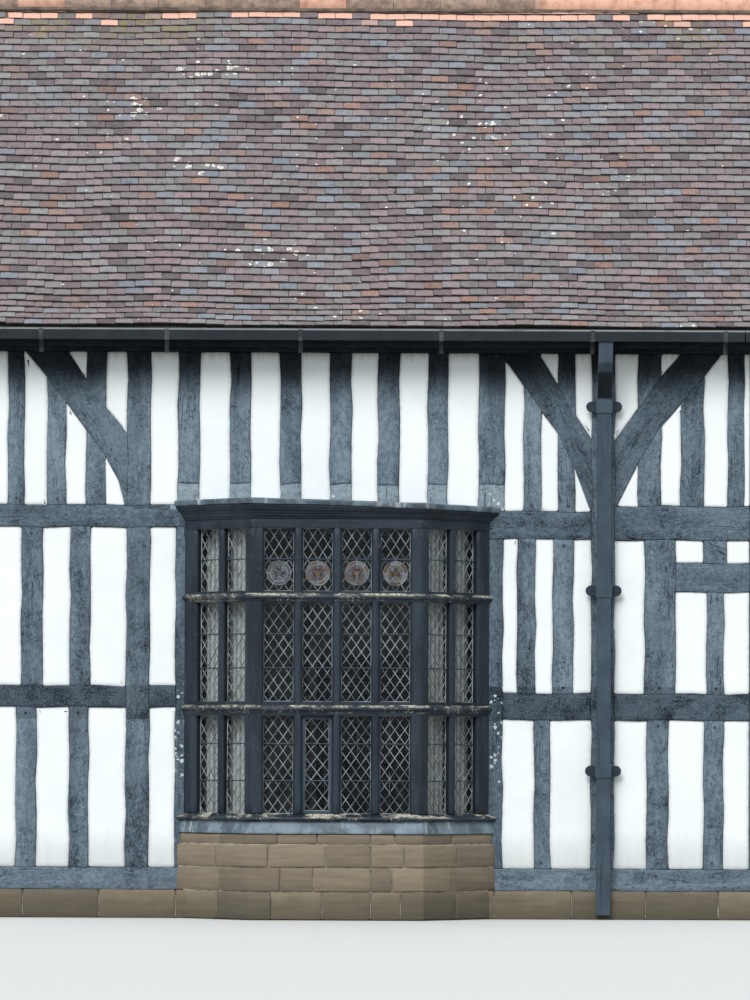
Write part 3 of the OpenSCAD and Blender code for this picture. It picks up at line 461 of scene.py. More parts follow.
@dataclass(frozen=True)
class ClayTile(Finish):
    """Old clay tiles in mixed browns and greys, with lichen, moss and a few new ones."""

    tones: tuple = (
        (0.0, rgb(106, 98, 100)), (0.08, rgb(121, 110, 114)), (0.24, rgb(140, 124, 129)),
        (0.38, rgb(132, 130, 130)), (0.5, rgb(143, 133, 137)), (0.62, rgb(150, 132, 134)),
        (0.72, rgb(144, 140, 140)), (0.82, rgb(144, 144, 149)), (0.88, rgb(132, 138, 148)),
        (0.94, rgb(146, 130, 126)), (0.99, rgb(157, 125, 114)), (1.0, rgb(124, 108, 103)))
    salmon: tuple = rgb(232, 184, 164)
    moss: tuple = rgb(134, 129, 84)
    lichen: tuple = rgb(232, 232, 222)
    grime_and_shade: tuple = rgb(38, 34, 36)
    patches: tuple = ((-1.5, 7.9, 0.42, 0.12), (-2.3, 7.5, 0.5, 0.15), (-0.9, 6.05, 0.45, 0.16),
                      (0.95, 7.3, 0.5, 0.13), (-1.7, 6.9, 0.4, 0.12))

    def patch(self, s: Shader, x, z) -> Value:
        """Returns how thick the lichen may grow at a place, from its grouped patches."""
        fars = (((x - middle) / wide) ** 2.0 + ((z - height) / tall) ** 2.0
                for middle, height, wide, tall in self.patches)
        return s.most([s.band(far, 0.3, 1.5, 0.42, 0.0) for far in fars])

    def shade(self, s: Shader, at: Value) -> Value:
        """Returns the shader."""
        x, y, z = s.split(at)
        pick, second, third = s.split(s.read("tone")["Vector"])
        across, along, top = s.split(s.read("tile")["Vector"])
        colour = s.ramp(pick, self.tones)
        shade = s.band(second, 0.0, 1.0, 0.79, 0.98)
        blue = shade * 0.99
        colour = s.mix(1.0, colour, s.add("CombineXYZ", {0: shade, 1: shade, 2: blue}), "MULTIPLY")
        own = s.shift(at, s.stretch(s.read("tone")["Vector"], 9, 7, 5))
        mottle = s.noise(own, 22, 4, 0.65)
        pale = s.noise(own, 55, 3, 0.6)
        new = s.band(s.read("course") + third * 0.03, 0.982, 0.984)
        new = new * (second > 0.06)
        crown = s.band(z, 7.9, 8.45) * s.band(s.noise(at, 1.3, 3), 0.5, 0.62)
        green = crown * s.band(s.noise(own, 12, 3), 0.4, 0.6, 0.0, 0.75)
        thin = s.band(s.noise(at, 0.8, 2), 0.36, 0.64, 0.08, 0.22)
        amount = s.math("MAXIMUM", self.patch(s, x, z), thin)
        spots = s.use(spot_effect(), Vector=at, Scale=17.0, Amount=amount)
        # Mottled grime; painted shade at each tile's tail, along its sides and just below the tail of the
        # course above.
        colour = s.over(colour, (s.band(mottle, 0.5, 0.75, 0.0, 0.45), self.grime_and_shade),
                        (s.band(pale, 0.55, 0.75, 0.0, 0.25), rgb(190, 186, 182)), (new * 0.9, self.salmon),
                        (green * (1.0 - new), self.moss), (spots["Spot"] * spots["Ring"], self.lichen),
                        (s.band(along, 0.035, 0.075, 0.98, 0.0), self.grime_and_shade),
                        (s.band(abs(across - 0.5), 0.47, 0.5, 0.0, 0.75), self.grime_and_shade),
                        (s.band(along, 0.36, 0.42, 0.0, 0.8), self.grime_and_shade))
        height = mottle * 0.6 + s.noise(own, 160, 3, 0.7)
        rough = s.band(mottle, 0.3, 0.7, 0.72, 0.92)
        return self.surface(s, colour, rough, height, 0.0025, Specular_IOR_Level=0.3)


@dataclass(frozen=True)
class RidgeClay(Finish):
    """Half round ridge tiles, buff and brown on the left and newer orange on the right."""

    old: tuple = rgb(178, 152, 136)
    older: tuple = rgb(128, 110, 98)
    new: tuple = rgb(232, 182, 158)
    lichen: tuple = rgb(226, 226, 210)
    change: float = 1.8

    def shade(self, s: Shader, at: Value) -> Value:
        """Returns the shader."""
        x = s.split(at)[0]
        tone = s.read("tone")
        mottle = s.noise(at, 9, 4, 0.65)
        colour = s.mix(s.band(mottle, 0.35, 0.65), self.old, self.older)
        is_new = s.band(x + tone * 0.5, self.change, self.change + 0.2)
        some = s.math("MAXIMUM", is_new, s.band(tone, 0.8, 0.84, 0.0, 0.8))
        spots = s.use(spot_effect(), Vector=at, Scale=14.0, Amount=0.14)
        colour = s.over(colour, (some, s.mix(s.band(mottle, 0.4, 0.8), self.new, rgb(186, 128, 104))),
                        (spots["Spot"] * 0.8, self.lichen))
        return self.surface(s, colour, 0.85, s.noise(at, 90, 4, 0.7), 0.003)


@dataclass(frozen=True)
class PaintedJoinery(Finish):
    """Near black paint on moulded oak, worn to pale wood and old paint on what faces up, with painted shade
    in the reveals.
    """

    paint: tuple = rgb(45, 56, 66)
    deep: tuple = rgb(30, 39, 48)
    painted_reveal_shade: tuple = rgb(14, 19, 24)
    pale: tuple = rgb(196, 193, 176)
    worn: float = 0.0
    flakes: float = 0.31
    sheen: float = 0.5
    fronts: tuple = ((0.0, -1.0, 3.43), (-0.740, -0.6726, 3.0817), (0.740, -0.6726, 2.6599))

    def reveal(self, s: Shader, x, y) -> Value:
        """Returns how deep a point lies behind the bay's three faces, from 0 to 1."""
        past = [x * nx + y * ny - far for nx, ny, far in self.fronts]
        return s.band(s.most(past), -0.03, -0.006, 1.0, 0.0)

    def shade(self, s: Shader, at: Value) -> Value:
        """Returns the shader."""
        grain = s.use(grain_effect(), Vector=s.read("grain")["Vector"], Pits=0.25, Cracks=0.6)
        colour = s.mix(s.band(grain["Broad"], 0.35, 0.65), self.deep, self.paint)
        x, y, _ = s.split(at)
        facing = s.band(s.split(s.add("NewGeometry")["Normal"])[2], 0.1, 0.75)
        patchy = s.noise(s.stretch(at, 3.2, 3.2, 9), 1.0, 4, 0.7)
        bare = facing * s.band(patchy, 0.62 - 0.18 * self.worn, 0.74 - 0.18 * self.worn)
        flake = s.use(wear_effect(), Vector=at, Mask=s.read("edge"), Amount=self.flakes)
        bare = s.math("MAXIMUM", bare, flake["Worn"] * 0.7)
        wood = s.mix(s.band(s.noise(at, 40, 3), 0.4, 0.6), self.pale, rgb(128, 128, 118))
        # The reveals behind the bay's faces are darkened as painted shade.
        colour = s.over(colour, (s.band(s.noise(at, 25, 3), 0.5, 0.75, 0.0, 0.3), rgb(66, 78, 88)),
                        (self.reveal(s, x, y) * 0.75, self.painted_reveal_shade), (grain["Crack"] * 0.7, rgb(16, 19, 22)),
                        (bare, wood))
        height = grain["Height"] * 0.5 - bare * 0.4
        rough = s.band(bare, 0.0, 1.0, self.sheen, 0.85)
        return self.surface(s, colour, rough, height, 0.002, Specular_IOR_Level=0.25)


@dataclass(frozen=True)
class PlainOak(Finish):
    """Unpainted or thinly tarred oak, for the roof timbers and boards."""

    light: tuple = rgb(110, 112, 110)
    dark: tuple = rgb(48, 50, 52)

    def shade(self, s: Shader, at: Value) -> Value:
        """Returns the shader."""
        grain = s.use(grain_effect(), Vector=s.read("grain")["Vector"], Pits=0.3)
        value = grain["Streak"] * 0.6 + grain["Broad"] * 0.4
        colour = s.ramp(value, [(0.3, self.dark), (0.72, self.light)])
        colour = s.mix(grain["Crack"] * 0.9, colour, rgb(16, 17, 18))
        return self.surface(s, colour, 0.8, grain["Height"], 0.004)


@dataclass(frozen=True)
class PaintedIron(Finish):
    """Cast iron under blue black paint, with rust at its edges, dark runs where water has dirtied it, and
    some painted shade.
    """

    paint: tuple = rgb(60, 74, 86)
    light: tuple = rgb(76, 91, 104)
    rust: tuple = rgb(92, 74, 60)
    lip: tuple = rgb(138, 143, 146)
    lip_z: float = 99.0
    shaded: tuple = (99.0, 99.1)
    clasp: tuple = (0.0, 99.0)

    def shade(self, s: Shader, at: Value) -> Value:
        """Returns the shader."""
        cloud = s.noise(at, 4.5, 4, 0.6)
        colour = s.mix(s.band(cloud, 0.4, 0.7, 0.0, 0.6), self.paint, self.light)
        runs = s.noise(s.stretch(at, 30, 30, 1.5), 1.0, 3, 0.6)
        worn = s.use(wear_effect(), Vector=at, Mask=s.read("edge"), Amount=0.33)["Worn"]
        z = s.split(at)[2]
        rim = s.band(z, self.lip_z - 0.014, self.lip_z - 0.010) * s.band(cloud, 0.3, 0.5, 0.6, 1.0)
        # Painted shade: the pipe's slanted neck under the eaves, and the collars' ears darker than their
        # middle.
        low, high = self.shaded
        within = s.band(z, low, low + 0.012) * s.band(z, high - 0.03, high, 1.0, 0.0)
        middle, half = self.clasp
        aside = abs(s.split(at)[0] - middle)
        colour = s.over(colour, (s.band(runs, 0.55, 0.75, 0.0, 0.5), rgb(34, 38, 41)),
                        (worn * 0.5, self.rust), (rim, self.lip), (within * 0.82, rgb(12, 18, 24)),
                        (s.band(aside, half, half + 0.006, 0.0, 0.6), rgb(26, 34, 41)))
        height = cloud * 0.4 + s.noise(at, 70, 3, 0.6)
        return self.surface(s, colour, 0.42 + worn * 0.4, height, 0.0012, Specular_IOR_Level=0.22)


@dataclass(frozen=True)
class SheetLead(Finish):
    """Grey weathered lead with pale streaks where water runs off it."""

    grey: tuple = rgb(126, 143, 156)
    dark: tuple = rgb(78, 92, 104)
    white: tuple = rgb(206, 214, 218)

    def shade(self, s: Shader, at: Value) -> Value:
        """Returns the shader."""
        cloud = s.noise(at, 6, 4, 0.65, 0.6)
        colour = s.mix(s.band(cloud, 0.35, 0.65), self.dark, self.grey)
        runs = s.noise(s.stretch(at, 9, 9, 2), 1.0, 4, 0.7)
        colour = s.mix(s.band(runs, 0.55, 0.72, 0.0, 0.75), colour, self.white)
        height = cloud + s.noise(at, 45, 3) * 0.3
        return self.surface(s, colour, s.band(cloud, 0.3, 0.7, 0.42, 0.65), height, 0.003, Metallic=0.1)


@dataclass(frozen=True)
class Sandstone(Finish):
    """Brown grey sandstone with its beds, tooling and damp."""

    warm: tuple = rgb(143, 131, 112)
    cool: tuple = rgb(113, 104, 92)
    damp: tuple = rgb(80, 77, 64)

    def shade(self, s: Shader, at: Value) -> Value:
        """Returns the shader."""
        bed = s.noise(s.stretch(at, 2, 2, 26), 1.0, 4, 0.6, 0.5)
        colour = s.mix(s.band(bed * 0.7 + s.read("tone") * 0.35, 0.3, 0.75), self.cool, self.warm)
        wet = s.band(s.split(at)[2] + s.noise(at, 5, 3) * 0.25, 0.15, 0.5, 0.65, 0.0)
        grain = s.noise(at, 220, 3, 0.7)
        colour = s.over(colour, (wet, self.damp), (s.band(grain, 0.55, 0.8, 0.0, 0.35), rgb(66, 60, 50)))
        return self.surface(s, colour, 0.92, bed * 0.7 + grain * 0.4, 0.004, Specular_IOR_Level=0.25)


@dataclass(frozen=True)
class LimeMortar(Finish):
    """Pale gritty mortar."""

    pale: tuple = rgb(168, 160, 146)
    dull: tuple = rgb(112, 106, 96)

    def shade(self, s: Shader, at: Value) -> Value:
        """Returns the shader."""
        colour = s.mix(s.band(s.noise(at, 12, 4), 0.35, 0.7), self.pale, self.dull)
        return self.surface(s, colour, 0.95, s.noise(at, 150, 4, 0.7), 0.003)


@dataclass(frozen=True)
class OldGlass(Finish):
    """Small old panes: dark with the room behind, each one set at its own slight angle."""

    tint: tuple = rgb(34, 44, 51)
    see: float = 0.83

    def shade(self, s: Shader, at: Value) -> Value:
        """Returns the shader."""
        colour = s.mix(s.band(s.read("tone"), 0.0, 1.0), rgb(16, 22, 27), self.tint)
        ripple = s.noise(at, 26, 2, 0.4)
        cover = s.math("ADD", 1.0 - self.see, s.add("Fresnel", {"IOR": 1.5}) * 0.9, clamp=True)
        cover = cover * (1.0 - s.add("NewGeometry")["Backfacing"])
        return self.surface(s, colour, 0.07, ripple, 0.0012, Alpha=cover, Specular_IOR_Level=0.9)


@dataclass(frozen=True)
class StainedGlass(Finish):
    """Coloured glass, its colour held by each pane."""

    def shade(self, s: Shader, at: Value) -> Value:
        """Returns the shader."""
        mottle = s.noise(at, 60, 3, 0.6)
        colour = s.mix(s.band(mottle, 0.35, 0.7, 0.25, 0.7), s.read("tint")["Color"], rgb(30, 34, 40))
        return self.surface(s, colour, 0.25, mottle, 0.001)


@dataclass(frozen=True)
class LeadCame(Finish):
    """The grey white leads between the panes."""

    bright: tuple = rgb(148, 156, 161)
    dull: tuple = rgb(82, 90, 96)

    def shade(self, s: Shader, at: Value) -> Value:
        """Returns the shader."""
        colour = s.mix(s.band(s.noise(at, 7, 3), 0.35, 0.65), self.dull, self.bright)
        return self.surface(s, colour, 0.6, s.noise(at, 90, 2), 0.0006, Metallic=0.1)


@dataclass(frozen=True)
class Linen(Finish):
    """Plain unbleached curtain cloth."""

    pale: tuple = rgb(242, 250, 247)
    dull: tuple = rgb(216, 224, 220)
    shade_in: tuple = rgb(92, 102, 104)

    def shade(self, s: Shader, at: Value) -> Value:
        """Returns the shader."""
        u, v, w = s.split(s.add("UVMap"))
        weave = s.math("SINE", u * 2600.0) * s.math("SINE", v * 2600.0)
        slub = s.noise(s.stretch(s.add("UVMap"), 40, 3, 1), 1.0, 3, 0.6)
        colour = s.mix(s.band(slub, 0.35, 0.7), self.pale, self.dull)
        # Painted shade deep in the folds.
        colour = s.mix(s.band(s.read("fold"), -1.0, 0.5, 0.75, 0.0), colour, self.shade_in)
        return self.surface(s, colour, 0.95, weave, 0.0003, Sheen_Weight=0.3)


OAK = TarredOak("tarred oak", "oak")
BRACE_OAK = TarredOak("brace oak", "oak", rgb(112, 128, 140), rgb(72, 86, 98), rgb(36, 45, 53))
RAIL_OAK = TarredOak("rail oak", "oak", rgb(116, 132, 145), rgb(76, 91, 103), rgb(38, 47, 56))
END_OAK = TarredOak("gable oak", "oak", eaves=99.0)
WINDOW_OAK = TarredOak("window post oak", "oak", light=rgb(112, 128, 140), middle=rgb(72, 86, 98),
                       dark=rgb(34, 43, 51), flaked=(1.0, 2.3))
PLASTER = LimedPlaster("limed plaster", "plaster")
END_PLASTER = LimedPlaster("gable plaster", "plaster", eaves=99.0)
TILE = ClayTile("old clay tile", "tiles")
RIDGE = RidgeClay("ridge clay", "ridge_clay")
JOINERY = PaintedJoinery("bay joinery", "joinery")
DRIP = PaintedJoinery("worn drip mould", "joinery", worn=1.0, flakes=0.41)
PLAIN_OAK = PlainOak("roof oak", "roof_oak")
# Near black: tar, and painted shade for the fascia in the shadow of the gutter.
EAVES_BOARD = TarredOak("eaves board", "roof_oak", light=rgb(44, 51, 57), middle=rgb(30, 36, 41),
                        dark=rgb(18, 22, 26), eaves=99.0)
IRON = PaintedIron("painted iron", "iron")
LEAD = SheetLead("sheet lead", "lead")
ROOF_LEAD = SheetLead("roof lead", "lead", rgb(108, 124, 136), rgb(64, 77, 87))
STONE = Sandstone("sandstone", "plinth_stone")
FLAG = Sandstone("floor flags", "floor_stone", warm=rgb(132, 124, 110), damp=rgb(112, 106, 92))
MORTAR = LimeMortar("lime mortar", "plinth_stone")
# Dark brown: mortar, darkened partly as painted shade under the ridge tiles.
BEDDING = LimeMortar("ridge bedding", "ridge_clay", rgb(118, 104, 94), rgb(80, 72, 66))
GLASS = OldGlass("old glass", "glass")
STAINED = StainedGlass("stained glass", "glass")
CAME = LeadCame("lead came", "lead")
LINEN = Linen("curtain linen", "linen")

UP = Vector((0, 0, 1))


# Mesh building

def mark(mesh: bpy.types.Mesh, name: str, values: Sequence) -> None:
    """Stores a number or a vector for each corner of a mesh."""
    flat = np.array(values, np.float32)
    kind, key = ("FLOAT", "value") if flat.ndim == 1 else ("FLOAT_VECTOR", "vector")
    mesh.attributes.new(name, kind, "POINT").data.foreach_set(key, flat.ravel())


def slice_up(solid: Solid, direction: Vector, low: float, high: float, count: int) -> None:
    """Cuts a solid by evenly set planes across a direction, between two distances along it."""
    for k in range(1, count + 1):
        at = direction * (low + (high - low) * k / (count + 1))
        bmesh.ops.bisect_plane(solid, geom=solid.verts[:] + solid.edges[:] + solid.faces[:], dist=1e-5,
                               plane_co=at, plane_no=direction)


@dataclass
class Parts:
    """Corners, faces and values of a mesh while it is put together from many bodies."""

    points: list = field(default_factory=list)
    faces: list = field(default_factory=list)
    grain: list = field(default_factory=list)
    tone: list = field(default_factory=list)
    edge: list = field(default_factory=list)

    def add(self, points: Sequence, faces: Sequence, tone: float = 0.5, grain: Optional[Sequence] = None,
            edge: Optional[Sequence] = None) -> None:
        """Adds one closed body.

        Args:
            points: its corners.
            faces: its faces as lists of corner numbers.
            tone: one random number that tells it from its neighbours.
            grain: each corner's place along, across and into the piece.
            edge: each corner's share of wear.
        """
        base = len(self.points)
        self.points.extend(tuple(p) for p in points)
        self.faces.extend([base + i for i in face] for face in faces)
        self.tone.extend([tone] * len(points))
        self.grain.extend(tuple(g) for g in grain or points)
        self.edge.extend(edge or [0.0] * len(points))

    def take(self, solid: Solid, tone: float, grain: Callable) -> None:
        """Adds a worked solid and frees it.

        Args:
            solid: the solid, with the wear of each corner in its layer "worn".
            tone: its random number.
            grain: gives a corner's place along, across and into the piece.
        """
        solid.verts.index_update()
        worn = solid.verts.layers.float["worn"]
        self.add([v.co.copy() for v in solid.verts], [[v.index for v in f.verts] for f in solid.faces], tone,
                 [grain(v.co) for v in solid.verts], [v[worn] for v in solid.verts])
        solid.free()

    def build(self, name: str, finish: Finish, node: str = "", rough: float = 0.0, sway: float = 0.0,
              seed: int = 1) -> bpy.types.Object:
        """Makes the object.

        Args:
            name: the piece's name.
            finish: its finish.
            node: the CAD node that it stands for, if any.
            rough: how far its surface moves in and out, in metres.
            sway: how far it bends over a long stretch, in metres.
            seed: a number that tells its surface from the other pieces'.

        Returns:
            The new object.
        """
        mesh = bpy.data.meshes.new(name)
        mesh.from_pydata(self.points, [], self.faces)
        for key in ("grain", "tone", "edge"):
            mark(mesh, key, getattr(self, key))
        if rough > 0 or sway > 0:
            mesh = rough_tree().run(mesh, {"Rough": rough, "Sway": sway, "Seed": seed})
        made = finished(mesh, name, finish)
        if node:
            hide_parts(node)
        return made


def finished(mesh: bpy.types.Mesh, name: str, finish: Finish, smooth: float = 38.0) -> bpy.types.Object:
    """Makes a mesh the object of a piece, within the CAD model's box, with its finish and soft shading.

    Returns:
        The object, which rides on the house.
    """
    mesh.validate()
    places = np.empty(len(mesh.vertices) * 3, np.float32)
    mesh.vertices.foreach_get("co", places)
    within = np.clip(places.reshape(-1, 3), *map(np.array, CAD_BOX))
    mesh.vertices.foreach_set("co", within.astype(np.float32).ravel())
    mesh.materials.clear()
    mesh.materials.append(finish.material())
    mesh.shade_smooth()
    mesh.set_sharp_from_angle(angle=math.radians(smooth))
    made = placed(name, mesh)
    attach(made, "root")
    LOG.info("%s: %d faces", name, len(mesh.polygons))
    return made


def bodies_of(node: str) -> list[Solid]:
    """Returns a CAD node's separate solids, merged and with their flat faces joined."""
    whole = bmesh.new()
    whole.from_mesh(frame["nodes"][node].data)
    bmesh.ops.remove_doubles(whole, verts=whole.verts, dist=2e-5)
    bmesh.ops.dissolve_limit(whole, angle_limit=math.radians(0.6), verts=whole.verts, edges=whole.edges)
    whole.verts.ensure_lookup_table()
    owner = [-1] * len(whole.verts)
    count = 0
    for start in whole.verts:
        if owner[start.index] >= 0 or not start.link_faces:
            continue
        queue = [start]
        owner[start.index] = count
        while queue:
            for edge in queue.pop().link_edges:
                for vert in edge.verts:
                    if owner[vert.index] < 0:
                        owner[vert.index] = count
                        queue.append(vert)
        count += 1
    solids = [bmesh.new() for _ in range(count)]
    fresh = {v.index: solids[owner[v.index]].verts.new(v.co) for v in whole.verts if owner[v.index] >= 0}
    for face in whole.faces:
        solids[owner[face.verts[0].index]].faces.new([fresh[v.index] for v in face.verts])
    whole.free()
    return solids


def span(solid: Solid) -> tuple[Vector, Vector]:
    """Returns a solid's lowest and highest corner."""
    co = np.array([v.co for v in solid.verts])
    return Vector(co.min(0)), Vector(co.max(0))


def spans_of(node: str) -> list[tuple[Vector, Vector]]:
    """Returns the lowest and highest corner of each of a node's solids."""
    solids = bodies_of(node)
    spans = [span(solid) for solid in solids]
    for solid in solids:
        solid.free()
    return spans


@dataclass(frozen=True)
class Dressing:
    """How a plain solid is worked up: rounded arrises, even cuts and a rough surface."""

    arris: float = 0.009
    steps: int = 2
    pitch: float = 0.07
    rough: float = 0.0025
    sway: float = 0.0
    seed: int = 1

    def round_off(self, solid: Solid) -> None:
        """Rounds the solid's sharp edges."""
        bmesh.ops.remove_doubles(solid, verts=solid.verts, dist=0.3 * self.arris)
        solid.normal_update()
        bent = math.radians(28)
        sharp = [e for e in solid.edges if len(e.link_faces) == 2 and e.calc_face_angle(0.0) > bent]
        flat = solid.faces.layers.int["flat"]
        made = bmesh.ops.bevel(solid, geom=sharp, offset=self.arris, segments=self.steps, profile=0.5,
                               affect="EDGES", clamp_overlap=True, harden_normals=False)
        for face in made["faces"]:
            face[flat] = 0

    def cut(self, solid: Solid) -> None:
        """Cuts the solid by even planes, so that its faces can take a rough shape."""
        low, high = span(solid)
        for axis in range(3):
            direction = Vector([float(k == axis) for k in range(3)])
            slice_up(solid, direction, low[axis], high[axis], int((high[axis] - low[axis]) / self.pitch))

    def along(self, solid: Solid) -> tuple[Vector, Vector, Vector]:
        """Returns the solid's own directions: along, across and into it."""
        co = np.array([v.co for v in solid.verts])
        long = Vector(np.linalg.svd(co - co.mean(0), full_matrices=False)[2][0])
        side = UP.cross(long)
        if side.length < 0.3:
            side = Vector((1, 0, 0)) - long * long.x
        side.normalize()
        return long, side, long.cross(side)

    def collect(self, solid: Solid, parts: Parts, rng: random.Random) -> None:
        """Rounds, cuts and adds one solid to the parts of a piece."""
        layer = solid.verts.layers.float.new("worn")
        flat = solid.faces.layers.int.new("flat")
        for face in solid.faces:
            face[flat] = 1
        ways = self.along(solid)
        if self.arris > 0:
            self.round_off(solid)
        for face in solid.faces:
            if not face[flat]:
                for vert in face.verts:
                    vert[layer] = 1.0
        if self.pitch > 0:
            self.cut(solid)
        jump = [rng.uniform(0, 40) for _ in ways]
        parts.take(solid, rng.random(), lambda p: [p.dot(way) + far for way, far in zip(ways, jump)])

    def piece(self, name: str, node: str, finish: Finish) -> bpy.types.Object:
        """Makes one finished piece that stands for a node.

        Returns:
            The piece.
        """
        rng = random.Random(f"{name}{self.seed}")
        parts = Parts()
        for solid in bodies_of(node):
            self.collect(solid, parts, rng)
        return parts.build(name, finish, node, rough=self.rough, sway=self.sway, seed=self.seed)


# Geometry Nodes

class NodeTree(Nodes):
    """A Geometry Nodes tree with named inputs."""

    def __init__(self, name: str) -> None:
        """Args:
            name: the tree's name.
        """
        super().__init__(bpy.data.node_groups.new(name, "GeometryNodeTree"))
        self.tree.interface.new_socket("Geometry", in_out="INPUT", socket_type="NodeSocketGeometry")
        self.source, self.sink = self.add("NodeGroupInput"), self.add("NodeGroupOutput")
        self.names: dict[str, str] = {}

    def size(self, name: str, kind: str = "Float") -> Value:
        """Adds a named input and returns it inside the tree."""
        socket = self.tree.interface.new_socket(name, in_out="INPUT", socket_type="NodeSocket" + kind)
        self.names[name] = socket.identifier
        return self.source[name]

    def read(self, name: str, kind: str = "FLOAT") -> Value:
        """Returns an attribute of the mesh."""
        return self.geo("InputNamedAttribute", {"Name": name}, data_type=kind)

    def geo(self, kind: str, inputs: Optional[dict] = None, **settings) -> Value:
        """Adds a node of geometry by its short type name."""
        return self.add("GeometryNode" + kind, inputs, **settings)

    def store(self, geometry: Value, name: str, value, kind: str = "FLOAT", domain: str = "POINT") -> Value:
        """Returns the geometry with one more attribute."""
        return self.geo("StoreNamedAttribute", {"Geometry": geometry, "Name": name, "Value": value},
                        data_type=kind, domain=domain)

    def chance(self, low, high, seed, kind: str = "FLOAT") -> Value:
        """Returns a random value for each element."""
        slot = ("FLOAT_VECTOR", "FLOAT", "INT").index(kind)
        return self.add("FunctionNodeRandomValue", {2 * slot: low, 2 * slot + 1: high, "Seed": seed},
                        data_type=kind)[slot]

    def end(self, geometry: Value, finish: Optional[Finish] = None) -> None:
        """Ends the tree in Realize Instances and Set Material."""
        last = self.geo("RealizeInstances", {0: geometry})
        if finish:
            last = self.geo("SetMaterial", {"Geometry": last, "Material": finish.material()})
        self.tree.interface.new_socket("Geometry", in_out="OUTPUT", socket_type="NodeSocketGeometry")
        self.put(self.sink, 0, last)

    def run(self, mesh: bpy.types.Mesh, values: dict) -> bpy.types.Mesh:
        """Runs the tree on a mesh.

        Args:
            mesh: what it starts from.
            values: the value of each named input.

        Returns:
            The plain mesh that comes out.
        """
        holder = placed("holder", mesh)
        modifier = holder.modifiers.new("tree", "NODES")
        modifier.node_group = self.tree
        for key, value in values.items():
            modifier[self.names[key]] = value
        depsgraph = bpy.context.evaluated_depsgraph_get()
        result = bpy.data.meshes.new_from_object(holder.evaluated_get(depsgraph), depsgraph=depsgraph,
                                                 preserve_all_data_layers=True)
        bpy.data.objects.remove(holder)
        return result


@functools.cache
def rough_tree() -> NodeTree:
    """A tree that moves a surface in and out along the grain and bends it a little."""
    t = NodeTree("rough surface")
    rough, sway, seed = t.size("Rough"), t.size("Sway"), t.size("Seed", "Int")
    along = t.vector("MULTIPLY", t.read("grain", "FLOAT_VECTOR"), (4.0, 11.0, 11.0))
    at = t.vector("ADD", along, t.joined(seed, seed, seed))
    out = (t.add("TexNoise", {"Vector": at, "Scale": 1.0, "Detail": 3.0}) - 0.52) * (rough * 4.0)
    push = t.add("VectorMath", {0: t.geo("InputNormal"), "Scale": out}, operation="SCALE")
    slow = t.vector("MULTIPLY", t.geo("InputPosition"), (0.8, 0.8, 0.8))
    drift = t.add("TexNoise", {"Vector": slow, "Scale": 1.0, "Detail": 1.0})[1]
    drift = t.vector("SUBTRACT", drift, (0.5, 0.5, 0.5))
    bend = t.add("VectorMath", {0: drift, "Scale": sway * 2.0}, operation="SCALE")
    t.end(t.geo("SetPosition", {"Geometry": t.source, "Offset": t.vector("ADD", push, bend)}))
    return t


# Walls

class Facing(Enum):
    """The wall that a node belongs to, by the first word of its name."""

    FRONT = "front"
    BACK = "back"
    END = "end"

    @classmethod
    def of(cls, node: str) -> "Facing":
        """Returns a node's wall."""
        return cls(node.split("_")[0])

    def out(self, place: Vector) -> Vector:
        """Returns the direction out of the wall at a place."""
        if self is Facing.END:
            return Vector((math.copysign(1, place.x), 0, 0))
        return Vector((0, -1 if self is Facing.FRONT else 1, 0))


